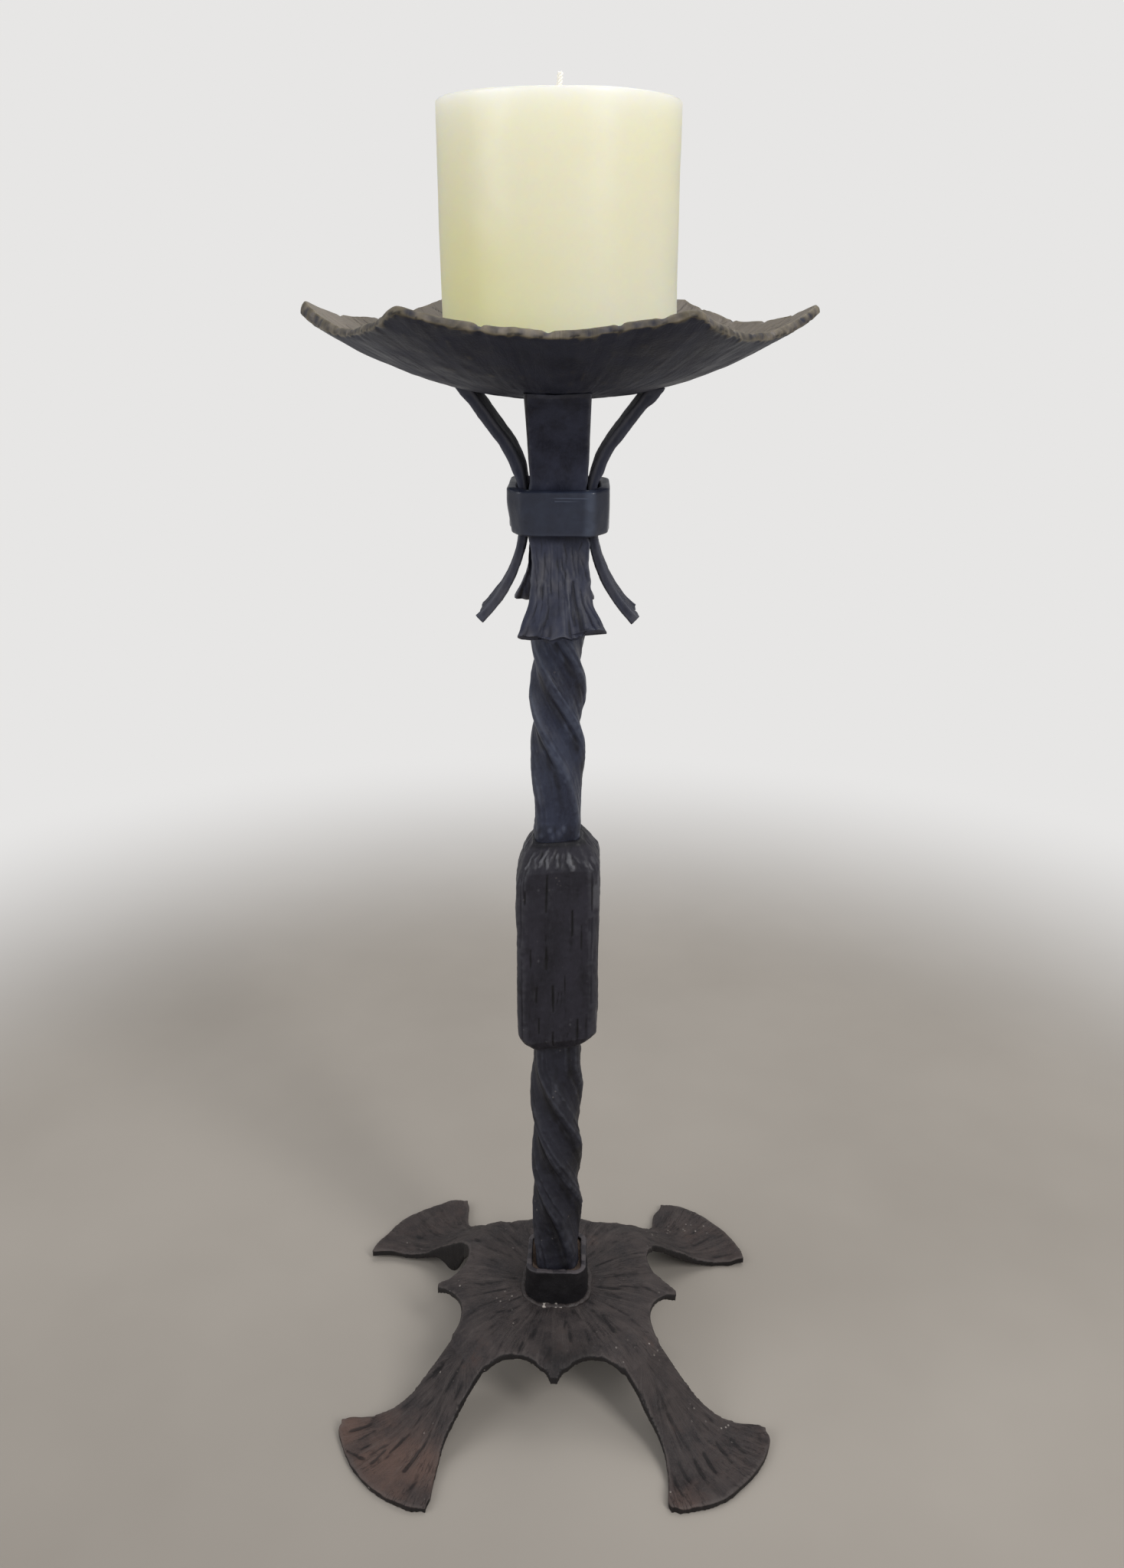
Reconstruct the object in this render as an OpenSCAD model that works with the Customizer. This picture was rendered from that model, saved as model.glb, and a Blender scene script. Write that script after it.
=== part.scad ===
// Forged iron torchere candle stand: arched four-legged base plate, twisted square bar with
// a chiselled block half way up, four splayed strips held by a band, a dished hexagonal drip
// pan and a pillar candle that lifts off a pricket.
// Millimetres, +Z up. The floor is z = 0, the shaft's axis is x = y = 0 and the front is -Y.

/* [Base plate] */
// height of the dome's level top above the floor
dome_h = 42; // [36:1:50]
// thickness of the plate
plate_t = 4; // [3:0.5:5]
// radius of the dome's level middle
dome_flat_r = 50; // [44:1:54]
// radius at which the legs flatten out on the floor
leg_end_r = 120; // [114:1:124]
// distance from the axis to the middle of a foot's curved end
foot_reach = 139; // [134:0.5:146]
// radius of a foot's curved end
foot_arc_r = 67; // [60:1:74]
// half the width of a leg at its waist
leg_half_w = 12; // [10:0.5:14]
// how fast each side of a foot fans out beyond the waist
fan_slope = 1.05; // [0.9:0.01:1.1]
// distance from the axis at which the foot starts to fan out
fan_start = 101; // [97:1:105]
// distance from the axis to the tip of a spur
spur_reach = 67.5; // [64:0.5:72]
// width of a spur at its tip
spur_w = 4.5; // [3:0.5:8]
// radius of the round bays cut on both sides of a spur
bay_r = 22; // [20:0.5:24]
// how far the bays' centres lie beyond the spur's tip
bay_ahead = 7; // [4:0.5:9]

/* [Base collar] */
// outside width of the square collar round the bar's foot
collar_w = 34.5; // [34:0.5:44]
// height of the collar
collar_h = 22; // [16:1:28]
// wall of the collar
collar_wall = 3.5; // [2.5:0.1:4.2]
// outside corner radius of the collar
collar_corner = 7; // [5:0.5:9]

/* [Twisted bars] */
// width of the square bar across its flats
bar_w = 22; // [18:0.5:24]
// how much is knocked off each edge of the bar, measured along a flat
bar_edge = 3.6; // [1.5:0.1:4.5]
// length of the lower bar between the plate and the block
lower_len = 159; // [140:1:200]
// plain length at the lower bar's foot, before its twist starts
lower_plain = 2; // [0:1:30]
// quarter turns in the lower bar
lower_quarters = 4; // [1:1:5]
// length of the upper bar between the block and the middle of the band
upper_len = 154; // [130:1:200]
// quarter turns in the upper bar
upper_quarters = 4; // [1:1:6]
// width of the square head that the strips lie against
head_w = 25.6; // [24.6:0.1:27]

/* [Middle block] */
// width of the block across its faces
block_w = 39.5; // [34:0.5:48]
// length of the block with its shoulders
block_len = 126; // [100:1:160]
// height of each sloping shoulder
shoulder_h = 16; // [10:1:18]
// length over which the block's cut edges run in to each end
edge_h = 27; // [18:1:30]
// width of the level end of a shoulder, where a bar stands
shoulder_w = 24; // [24:0.5:28]
// how much is cut off each upright edge of the block
block_edge = 4; // [2:0.5:6]

/* [Joints between the bars] */
// radius of the round tenons
tenon_r = 6; // [4:0.5:8]
// length of a tenon in the block
tenon_len = 18; // [10:1:24]
// radial gap round a tenon
tenon_gap = 0.15; // [0.1:0.05:0.3]
// radius of the washer under the plate
washer_r = 14; // [12:0.5:18]
// thickness of the washer
washer_t = 2.5; // [2:0.5:3]
// width of the nut across its flats
nut_flats = 19; // [18.5:0.5:22]
// height of the nut
nut_h = 10; // [6:1:11]

/* [Strips and band] */
// width of a strip where the band holds it
strip_w = 25; // [20:0.5:27]
// thickness of a strip
strip_t = 4; // [3:0.1:5]
// thickness of its hammered lower tip
tip_t = 3; // [2:0.1:3]
// half the length of the strip's straight middle
strip_straight = 3; // [2:0.5:6]
// bending radius of the upper half
upper_bend_r = 45; // [40:1:60]
// angle from upright at which the upper half runs on straight to the pan
upper_lean = 39; // [30:1:46]
// bending radius of the lower half
lower_bend_r = 64; // [56:1:74]
// angle from upright at the lower tip
lower_lean = 46; // [36:1:52]
// half the width of the flared lower tip
tip_half_w = 19; // [15:0.5:22]
// height of the band
band_h = 20.5; // [14:0.5:26]
// wall of the band
band_wall = 4.5; // [3:0.1:6]
// outside corner radius of the band
band_corner = 8; // [6:0.5:10]
// gap between the band and the strips it holds
band_gap = 0.2; // [0.15:0.05:0.3]

/* [Drip pan] */
// width of the pan across opposite tips
pan_across = 220; // [200:1:240]
// how much of each sharp corner the rounding of a tip takes away
tip_round = 1.5; // [0.5:0.1:3]
// radius to which the pan's underside is dished
dish_r = 192; // [170:1:230]
// thickness of the pan's sheet
pan_t = 3; // [2:0.25:4]
// height of the pan's lowest point above the middle of the band
pan_rise = 46; // [42:1:56]
// nicks along each side of the rim
nicks_per_side = 4; // [1:1:6]
// depth of a nick
nick_depth = 1.2; // [0.6:0.1:1.8]
// gap left for the weld between a strip and the pan
weld_gap = 0.1; // [0.05:0.05:0.2]

/* [Pricket] */
// radius of the disc at the pricket's foot
pricket_disc_r = 12; // [9:0.5:16]
// thickness of the disc
pricket_disc_t = 2.5; // [2:0.25:3.5]
// height of the spike above the disc
spike_h = 30; // [20:1:40]
// radius of the spike at its foot
spike_r = 3.5; // [3:0.25:4.5]
// radius of the riveted shank through the pan
rivet_r = 3; // [2:0.25:3]

/* [Candle] */
// diameter of the candle
candle_d = 98; // [80:1:104]
// height of the candle
candle_h = 104; // [80:0.5:160]
// rounding of the candle's top edge
candle_round = 2; // [1:0.25:4]
// gap between the candle and the pan or the pricket
candle_gap = 0.3; // [0.25:0.05:0.4]
// radius of the wick
wick_r = 1.3; // [1:0.1:1.8]
// length of wick that stands above the wax
wick_out = 11.5; // [6:0.5:20]

/* [Hidden] */
$fn = 96;
step_a = 4;
plate_under = dome_h - plate_t;
z_low = dome_h;
z_block = z_low + lower_len;
z_up = z_block + block_len;
z_band = z_up + upper_len;
z_pan = z_band + pan_rise;
z_dish = z_pan + dish_r;
dish_in_r = dish_r - pan_t;
bay_x = spur_reach + bay_ahead;
bay_y = spur_w / 2 + sqrt(bay_r * bay_r - bay_ahead * bay_ahead);
foot_c = foot_reach - foot_arc_r;
leg_rise = dome_h - plate_t;
head_z0 = z_band - band_h / 2 + 1;
head_z1 = z_band + band_h / 2 - 1;
strip_mid_r = head_w / 2 + strip_t / 2;
bend_in_band = asin(max(0, band_h / 2 - strip_straight) / upper_bend_r);
band_in = head_w / 2 + strip_t + upper_bend_r * (1 - cos(bend_in_band)) + band_gap;
band_w = 2 * (band_in + band_wall);
candle_r = candle_d / 2;
candle_foot = 1;
candle_z = dish_z(candle_r - candle_foot, dish_in_r) + candle_gap;
candle_top = candle_z + candle_h;
pan_floor = z_pan + pan_t;
disc_top = pan_floor + pricket_disc_t;
spike_top = disc_top + spike_h;
spike_tip_r = 0.6;
pan_flat = (pan_across / 2 + tip_round) * cos(30);

// ---------- helpers ----------

// how far down the slope of a leg a radius lies, from 0 at the dome to 1 on the floor
function leg_share(r) = min(1, max(0, (r - dome_flat_r) / (leg_end_r - dome_flat_r)));

// height of the plate's top face at a radius: level, then a smooth S down to the foot
function plate_top(r) = plate_t + leg_rise * (1 + cos(180 * leg_share(r))) / 2;

// steepness of that face, in millimetres of fall for each millimetre outwards
function plate_fall(r) = leg_rise * sin(180 * leg_share(r)) * PI / 2 / (leg_end_r - dome_flat_r);

// height of the under face, kept one sheet thickness away from the top face
function plate_low(r) = max(0, plate_top(r) - plate_t * sqrt(1 + pow(plate_fall(r), 2)));

// half the width of a leg at a distance from the axis: a straight waist that fans out
function leg_half(s) = leg_half_w + fan_slope * ((s - fan_start) + sqrt(pow(s - fan_start, 2) + 190)) / 2;

// share of a bar's twist reached at a share of its length, starting gently
function eased(t, e) = t < e ? t * t / (2 * e * (1 - e / 2)) : (t - e / 2) / (1 - e / 2);

// height of a dished face of the given radius at a distance from the axis
function dish_z(r, radius) = z_dish - sqrt(radius * radius - r * r);

// a point turned about the axis
function turned(p, a) = [p[0] * cos(a) - p[1] * sin(a), p[0] * sin(a) + p[1] * cos(a)];

// the eight corners of the bar's section: a square with its edges knocked off
bar_ring = [
    for (q = [0 : 3])
        for (s = [-1, 1])
            turned([bar_w / 2, s * (bar_w / 2 - bar_edge)], 90 * q)
];

// a square with round corners, as a flat shape
module round_square(w, r) {
    square([w, w - 2 * r], center = true);
    square([w - 2 * r, w], center = true);
    for (x = [-1, 1])
        for (y = [-1, 1])
            translate([x * (w / 2 - r), y * (w / 2 - r)])
                circle(r = r);
}

// a square with its corners cut off, as a flat shape
module cut_square(w, edge) {
    intersection() {
        square(w, center = true);
        rotate(45)
            square(sqrt(2) * (w - edge), center = true);
    }
}

// The twist is the feature that takes most skill at the forge. The section is carried up the
// bar ring by ring, and each ring is turned a little further clockwise, so the edges run like
// a left-handed screw. The turn starts gently at t = 0 and reaches a whole number of quarters,
// so both ends of the bar stand square. "plain" is a straight length below the twist.
module twisted_bar(z0, z1, plain, quarters, ease, gentle_end) {
    rings = 18 * quarters;
    heights = concat(plain > 0 ? [z0] : [], [for (i = [0 : rings]) z0 + plain + (z1 - z0 - plain) * i / rings]);
    shares = concat(plain > 0 ? [0] : [], [for (i = [0 : rings]) i / rings]);
    count = len(heights);
    turns = [for (t = shares) -90 * quarters * (gentle_end ? 1 - eased(1 - t, ease) : eased(t, ease))];
    points = [
        for (i = [0 : count - 1])
            for (p = bar_ring)
                let (q = turned(p, turns[i])) [q[0], q[1], heights[i]]
    ];
    sides = [
        for (i = [0 : count - 2])
            for (k = [0 : 7])
                for (half = [0, 1])
                    let (a = 8 * i + k, b = 8 * i + (k + 1) % 8)
                        half == 0 ? [a, a + 8, b] : [b, a + 8, b + 8]
    ];
    ends = [[for (k = [0 : 7]) k], [for (k = [7 : -1 : 0]) 8 * (count - 1) + k]];
    polyhedron(points = points, faces = concat(sides, ends));
}

// ---------- base ----------

// one leg with its fan-shaped foot, as a flat shape along +X
module leg_plan() {
    stations = [for (s = [20 : 4 : foot_reach + 4]) s];
    edge = [for (s = stations) [s, leg_half(s)]];
    last = len(stations) - 1;
    intersection() {
        polygon(concat(edge, [for (i = [last : -1 : 0]) [stations[i], -leg_half(stations[i])]]));
        translate([foot_c, 0])
            circle(r = foot_arc_r);
    }
}

// the plate's outline as an upright block: a disc with two round bays beside each of its
// four spurs, and the four legs
module plate_outline() {
    difference() {
        cylinder(r = spur_reach, h = dome_h + 1);
        for (a = [0 : 90 : 270])
            rotate(a)
                for (side = [-1, 1])
                    translate([bay_x, side * bay_y, -1])
                        cylinder(r = bay_r, h = dome_h + 3);
    }
    for (a = [45 : 90 : 315])
        rotate(a)
            linear_extrude(height = dome_h + 1)
                leg_plan();
}

// the arched sheet that the outline is cut from
module arched_sheet() {
    slope = [for (r = [dome_flat_r : step_a : leg_end_r]) r];
    far = foot_reach + 5;
    top = concat([[0, dome_h]], [for (r = slope) [r, plate_top(r)]], [[leg_end_r, plate_t], [far, plate_t]]);
    low = concat([[0, plate_under]], [for (r = slope) [r, plate_low(r)]], [[leg_end_r, 0], [far, 0]]);
    tops = [for (i = [0 : len(top) - 1]) if (i == 0 || top[i][0] > top[i - 1][0] + 0.01) top[i]];
    lows = [for (i = [len(low) - 1 : -1 : 0]) if (i == 0 || low[i][0] > low[i - 1][0] + 0.01) low[i]];
    rotate_extrude()
        polygon(concat(tops, lows));
}

module base_plate() {
    color([0.25, 0.23, 0.22])
        difference() {
            intersection() {
                plate_outline();
                arched_sheet();
            }
            translate([0, 0, -1])
                cylinder(r = tenon_r + tenon_gap, h = dome_h + 3);
        }
}

module base_collar() {
    color([0.2, 0.2, 0.22])
        translate([0, 0, z_low])
            linear_extrude(height = collar_h)
                difference() {
                    round_square(collar_w, collar_corner);
                    round_square(collar_w - 2 * collar_wall, collar_corner - collar_wall);
                }
}

module foot_washer() {
    color([0.45, 0.45, 0.46])
        translate([0, 0, plate_under - washer_t])
            linear_extrude(height = washer_t)
                difference() {
                    circle(r = washer_r);
                    circle(r = tenon_r + tenon_gap);
                }
}

module foot_nut() {
    color([0.45, 0.45, 0.46])
        translate([0, 0, plate_under - washer_t - nut_h])
            linear_extrude(height = nut_h)
                difference() {
                    circle(r = nut_flats / 2 / cos(30), $fn = 6);
                    circle(r = tenon_r + tenon_gap);
                }
}

// ---------- shaft ----------

module lower_bar() {
    foot_end = plate_under - washer_t - nut_h - 3;
    color([0.2, 0.2, 0.22]) {
        twisted_bar(z_low, z_block, lower_plain, lower_quarters, 0.2, true);
        translate([0, 0, foot_end])
            cylinder(r = tenon_r, h = z_low - foot_end + 0.5);
        translate([0, 0, z_block - 0.5])
            cylinder(r = tenon_r, h = tenon_len + 0.5);
    }
}

// side view of the block: upright faces with a sloping shoulder of height "run" at each end
module block_side(half, run) {
    end = shoulder_w / 2;
    polygon([
        [-end, 0], [end, 0], [half, run], [half, block_len - run],
        [end, block_len], [-end, block_len], [-half, block_len - run], [-half, run]
    ]);
}

module middle_block() {
    socket_r = tenon_r + tenon_gap;
    socket_len = tenon_len + 1;
    color([0.19, 0.19, 0.2])
        translate([0, 0, z_block])
            difference() {
                intersection() {
                    block_slab(0, block_w / 2, shoulder_h);
                    block_slab(90, block_w / 2, shoulder_h);
                    block_slab(45, (block_w - block_edge) / sqrt(2), edge_h);
                    block_slab(135, (block_w - block_edge) / sqrt(2), edge_h);
                }
                translate([0, 0, -1])
                    cylinder(r = socket_r, h = socket_len + 1);
                translate([0, 0, block_len - socket_len])
                    cylinder(r = socket_r, h = socket_len + 1);
            }
}

// the block's side view as a deep solid, turned to a pair of its faces or cut edges; four of
// these meet in the block, so that its shoulders run to eight-sided ends
module block_slab(a, half, run) {
    rotate([90, 0, a])
        linear_extrude(height = 2 * block_w, center = true)
            block_side(half, run);
}

module upper_bar() {
    color([0.19, 0.19, 0.23]) {
        twisted_bar(z_up, head_z0, 0, upper_quarters, 0.3, false);
        translate([0, 0, z_up - tenon_len])
            cylinder(r = tenon_r, h = tenon_len + 0.5);
        translate([0, 0, head_z0])
            linear_extrude(height = head_z1 - head_z0)
                cut_square(head_w, 1.5);
    }
}

// ---------- strips and band ----------

// middle line of the strip's upper half: straight in the band, bent, then straight to the pan
upper_line = concat(
    [for (a = [0 : step_a : upper_lean])
        [strip_mid_r + upper_bend_r * (1 - cos(a)), strip_straight + upper_bend_r * sin(a), a]],
    [[strip_mid_r + upper_bend_r * (1 - cos(upper_lean)) + 1.3 * pan_rise * sin(upper_lean),
      strip_straight + upper_bend_r * sin(upper_lean) + 1.3 * pan_rise * cos(upper_lean), upper_lean]]
);

// middle line of the lower half, from the tip up to the band
lower_line = [
    for (a = [lower_lean : -step_a : 0])
        [strip_mid_r + lower_bend_r * (1 - cos(a)), -strip_straight - lower_bend_r * sin(a), -a]
];

tip_z = -strip_straight - lower_bend_r * sin(lower_lean) - strip_t;

// half the strip's thickness where its middle line leans by an angle: thinner towards the tip
function strip_half_t(a) = (strip_t - (strip_t - tip_t) * max(0, -a) / lower_lean) / 2;

// one face of the strip, out (1) or in (-1): the middle line moved sideways
function strip_face(line, side) =
    [for (p = line)
        let (d = side * strip_half_t(p[2])) [p[0] + d * cos(p[2]), p[1] - d * sin(p[2])]];

// half the width of the strip at a height below the band's middle: it flares towards the tip
function strip_half(z) =
    strip_w / 2 + (tip_half_w - strip_w / 2) * pow(min(1, max(0, (z + 12) / (tip_z + 12))), 4);

// a strip on the +X side, standing in the band
module strip() {
    line = concat(lower_line, upper_line);
    out = strip_face(line, 1);
    last = len(line) - 1;
    in = [for (i = [last : -1 : 0]) strip_face(line, -1)[i]];
    levels = [for (z = [tip_z : 3 : -10]) z];
    top = 2 * pan_rise;
    right = concat([for (z = levels) [strip_half(z), z]], [[strip_w / 2, -9], [strip_w / 2, top]]);
    left = [for (i = [len(right) - 1 : -1 : 0]) [-right[i][0], right[i][1]]];
    translate([0, 0, z_band])
        difference() {
            intersection() {
                rotate([90, 0, 0])
                    linear_extrude(height = 2 * tip_half_w + 2, center = true)
                        polygon(concat(out, in));
                rotate([90, 0, 90])
                    linear_extrude(height = 120)
                        polygon(concat(right, left));
            }
            translate([0, 0, z_dish - z_band])
                sphere(r = dish_r + weld_gap);
        }
}

module strip_front() {
    color([0.28, 0.3, 0.33])
        rotate(-90)
            strip();
}

module strip_back() {
    color([0.28, 0.3, 0.33])
        rotate(90)
            strip();
}

module strip_left() {
    color([0.28, 0.3, 0.33])
        rotate(180)
            strip();
}

module strip_right() {
    color([0.28, 0.3, 0.33])
        strip();
}

module band_collar() {
    color([0.18, 0.2, 0.26])
        translate([0, 0, z_band - band_h / 2])
            linear_extrude(height = band_h)
                difference() {
                    round_square(band_w, band_corner);
                    round_square(2 * band_in, 2);
                }
}

// ---------- pan, pricket and candle ----------

// V-shaped nicks across the rim on the side that faces +X
module rim_nicks() {
    side = pan_flat * tan(30) * 2;
    for (i = [1 : nicks_per_side]) {
        y = side * ((i - 0.5) / nicks_per_side - 0.5) * 0.9;
        r = sqrt(pan_flat * pan_flat + y * y);
        translate([pan_flat, y, dish_z(r, dish_in_r)])
            rotate([0, -asin(pan_flat / dish_in_r), 0])
                rotate([45, 0, 0])
                    cube([9, nick_depth * sqrt(2), nick_depth * sqrt(2)], center = true);
    }
}

module drip_pan() {
    color([0.16, 0.16, 0.19])
        difference() {
            intersection() {
                translate([0, 0, z_dish])
                    difference() {
                        sphere(r = dish_r);
                        sphere(r = dish_in_r);
                    }
                translate([0, 0, z_pan - 1])
                    linear_extrude(height = dish_r / 2)
                        intersection() {
                            circle(r = pan_flat / cos(30), $fn = 6);
                            circle(r = pan_across / 2);
                        }
            }
            translate([0, 0, z_pan - 1])
                cylinder(r = rivet_r + 0.1, h = pan_t + 3);
            for (a = [30 : 60 : 330])
                rotate(a)
                    rim_nicks();
        }
}

// a spike on a disc that lies in the pan, riveted over below it, turned as one profile
module pricket() {
    head_t = 2;
    head_r = rivet_r + 2.5;
    rivet_face = dish_z(head_r, dish_r) - 0.1;
    disc_face = [for (i = [0 : 4])
        let (r = rivet_r + (pricket_disc_r - rivet_r) * i / 4) [r, dish_z(r, dish_in_r) + 0.05]];
    color([0.3, 0.3, 0.31])
        rotate_extrude()
            polygon(concat(
                [[0, z_pan - head_t], [head_r - 1, z_pan - head_t], [head_r, z_pan - head_t + 0.8]],
                [[head_r, rivet_face - 0.2], [rivet_r, rivet_face - 0.2]],
                disc_face,
                [[pricket_disc_r, disc_top], [spike_r, disc_top], [spike_tip_r, spike_top], [0, spike_top]]
            ));
}

module candle() {
    bore_r = spike_r + candle_gap;
    bore_top = spike_top + 1;
    arc = [for (a = [0 : 15 : 90])
        [candle_r - candle_round * (1 - cos(a)), candle_top - candle_round * (1 - sin(a))]];
    color([0.9, 0.87, 0.74])
        difference() {
            rotate_extrude()
                polygon(concat(
                    [[0, candle_z], [candle_r - candle_foot, candle_z], [candle_r, candle_z + candle_foot]],
                    arc,
                    [[0, candle_top]]
                ));
            translate([0, 0, candle_z - 1])
                cylinder(r = bore_r, h = bore_top - candle_z + 1);
            translate([0, 0, bore_top - 0.5])
                cylinder(r = wick_r + 0.05, h = candle_h);
        }
}

module wick() {
    color([0.92, 0.9, 0.84])
        translate([0, 0, spike_top + 1.5])
            cylinder(r = wick_r, h = candle_top + wick_out - spike_top - 1.5);
}

// ---------- show ----------

base_plate();
base_collar();
foot_washer();
foot_nut();
lower_bar();
middle_block();
upper_bar();
strip_front();
strip_back();
strip_left();
strip_right();
band_collar();
drip_pan();
pricket();
candle();
wick();
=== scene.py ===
# %% [markdown]
# # A forged iron candle stand, dressed for its portrait
# The CAD model is already exact: every piece is in its place and has its size. What it lacks is
# the hand of the smith. In this lesson we load that model as a fixed frame and then make each
# piece again as a dense mesh with chisel marks, hammer dents, ridges worn bright and a little
# rust. The looks come from geometry first and from node materials second.

# %% Load the frame
import math

import bmesh
import bpy
import numpy as np
from mathutils import Matrix, Vector


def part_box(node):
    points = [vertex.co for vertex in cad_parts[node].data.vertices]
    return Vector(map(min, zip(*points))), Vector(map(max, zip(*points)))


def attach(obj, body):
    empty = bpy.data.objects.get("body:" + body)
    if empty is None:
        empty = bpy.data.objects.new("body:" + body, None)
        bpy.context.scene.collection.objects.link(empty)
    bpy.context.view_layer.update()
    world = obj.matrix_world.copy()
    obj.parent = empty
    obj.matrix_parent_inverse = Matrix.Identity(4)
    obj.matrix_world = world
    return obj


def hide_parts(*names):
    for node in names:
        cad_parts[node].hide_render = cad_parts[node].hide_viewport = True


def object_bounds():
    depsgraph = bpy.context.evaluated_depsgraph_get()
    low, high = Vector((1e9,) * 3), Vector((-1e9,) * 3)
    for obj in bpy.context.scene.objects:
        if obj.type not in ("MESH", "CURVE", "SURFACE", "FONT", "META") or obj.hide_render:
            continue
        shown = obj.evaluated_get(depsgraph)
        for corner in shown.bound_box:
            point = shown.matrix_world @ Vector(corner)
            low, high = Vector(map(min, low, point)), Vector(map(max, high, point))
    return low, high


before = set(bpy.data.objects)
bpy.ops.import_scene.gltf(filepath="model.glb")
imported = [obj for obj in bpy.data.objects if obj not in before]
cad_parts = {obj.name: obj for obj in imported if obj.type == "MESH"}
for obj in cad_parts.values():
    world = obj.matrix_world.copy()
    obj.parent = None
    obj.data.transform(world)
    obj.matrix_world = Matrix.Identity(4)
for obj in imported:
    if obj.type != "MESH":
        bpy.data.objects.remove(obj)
cad_low, cad_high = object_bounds()
MM = 0.001
print("CAD box in mm:", [round(v / MM, 1) for v in (*cad_low, *cad_high)])

# %% [markdown]
# ## The camera
# The stand was seen from just above, from about its own height away. A camera is a place, a
# direction and a lens. The tilt is given as three angles, and the camera's three axes are built
# from them, because a matrix says exactly what we mean and needs no constraint to aim it.

# %% Camera
CAMERA_PLACE = Vector((0.013032, -0.578013, 0.574664))
HEADING, TILT, ROLL = (math.radians(a) for a in (1.080, 21.443, 0.180))
CAMERA_LENS = 29.46

level = Vector((-math.sin(HEADING), math.cos(HEADING), 0))
ahead = level * math.cos(TILT) - Vector((0, 0, math.sin(TILT)))
side = Vector((level.y, -level.x, 0))
above = side.cross(ahead)
across = side * math.cos(ROLL) + above * math.sin(ROLL)
upward = above * math.cos(ROLL) - side * math.sin(ROLL)
lens = bpy.data.cameras.new("portrait_camera")
lens.lens, lens.sensor_width = CAMERA_LENS, 36
lens.clip_start, lens.clip_end = 0.01, 60


def add_object(name, data):
    """A new object in the scene that shows this mesh, camera or lamp."""
    thing = bpy.data.objects.new(name, data)
    bpy.context.scene.collection.objects.link(thing)
    return thing


camera = add_object("portrait_camera", lens)
turned = Matrix((across, upward, -ahead)).transposed().to_4x4()
camera.matrix_world = Matrix.Translation(CAMERA_PLACE) @ turned
bpy.context.scene.camera = camera
print("camera stands", round(CAMERA_PLACE.length, 3), "m from the foot of the stand")

# %% [markdown]
# ## Seeded unevenness
# Nothing forged is quite straight, so almost every piece below asks for a little smooth noise.
# Blender has noise functions, but they take one point at a time. This one takes a whole array:
# it gives each corner of a grid of cubes a random value, made by mixing whole numbers, and
# blends between the corners. The same seed always gives the same bumps.

# %% Noise for whole arrays of points
def corner_value(cell, seed):
    """A random value from -1 to 1 for each corner of the grid, from its whole-number place."""
    mixed = cell[..., 0] * 73856093 ^ cell[..., 1] * 19349663 ^ cell[..., 2] * 83492791 ^ seed * 2654435
    mixed = (mixed ^ (mixed >> 13)) * 1274126177 & 0xFFFFFFFF
    mixed = (mixed ^ (mixed >> 16)) * 2246822519 & 0xFFFFFFFF
    return (mixed >> 8 & 0xFFFF) / 32767.5 - 1


def noise(points, size, seed):
    """Smooth noise from -1 to 1 at points in millimetres; size is the width of a bump."""
    place = points / size
    cell = np.floor(place).astype(np.int64)
    share = place - cell
    share = share * share * (3 - 2 * share)
    total = 0
    for corner in np.ndindex(2, 2, 2):
        weight = np.prod(np.where(corner, share, 1 - share), axis=-1)
        total = total + weight * corner_value(cell + corner, seed)
    return total


def rough(points, size, seed, octaves=3):
    """Noise at several sizes, each half as wide and half as high as the last."""
    return sum(noise(points, size / 2**k, seed + k) / 2**k for k in range(octaves))


print("noise at the origin:", round(float(noise(np.zeros((1, 3)), 5.0, 1)[0]), 3))

# %% [markdown]
# ## Small shapes of numbers
# A handful of short functions keeps the rest readable. `ease` fades something in over a stretch,
# `bell` makes a soft bump, and `around` turns a distance from the axis, a bearing and a height
# into points. They all work on whole arrays at once.

# %% Small helpers
def ease(low, high, value):
    """0 on the side of low, 1 on the side of high, and a smooth S between the two."""
    share = np.clip((value - low) / (high - low), 0, 1)
    return share * share * (3 - 2 * share)


def bell(value, width):
    return np.exp(-(value / width) ** 2)


def bearings(count):
    """Evenly spaced angles round a full turn."""
    return np.arange(count) / count * 2 * np.pi


def around(reach, angle, height):
    """Points from their distance to the axis, their bearing and their height."""
    return np.stack(np.broadcast_arrays(reach * np.cos(angle), reach * np.sin(angle), height), -1)


def from_axis(points):
    return np.linalg.norm(points[:, :2], axis=1)


def lying(x, y=0, z=0):
    """Points from three coordinates, any of which may be a plain number."""
    return np.stack(np.broadcast_arrays(x, y, z), -1)


print("ease(0, 1, 0.25) =", round(float(ease(0, 1, 0.25)), 3))

# %% [markdown]
# ## From rings of points to a mesh
# Bars, collars, strips and the pan are all one idea: a row of rings, joined to their neighbours
# by quads. A ring can be the bar's section, and the row runs up the bar. If the row closes on
# itself we have a hoop, and if it doesn't, the last ring at each end is closed with a fan.
# Building this from arrays is quick, and every quad follows the metal, which suits smooth shading.

# %% Mesh from rings
def mesh_piece(name, points, faces):
    """A shown object from points in millimetres and faces, with its faces turned outwards."""
    halves = [f[:3] for f in faces] + [[f[0], f[2], f[3]] for f in faces if len(f) == 4]
    corners = points[np.array(halves)]
    volume = np.einsum("ij,ij->i", corners[:, 0], np.cross(corners[:, 1], corners[:, 2])).sum()
    if volume < 0:
        faces = [f[::-1] for f in faces]
    mesh = bpy.data.meshes.new(name)
    mesh.from_pydata((points * MM).tolist(), [], faces)
    mesh.shade_smooth()
    return add_object(name, mesh)


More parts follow.
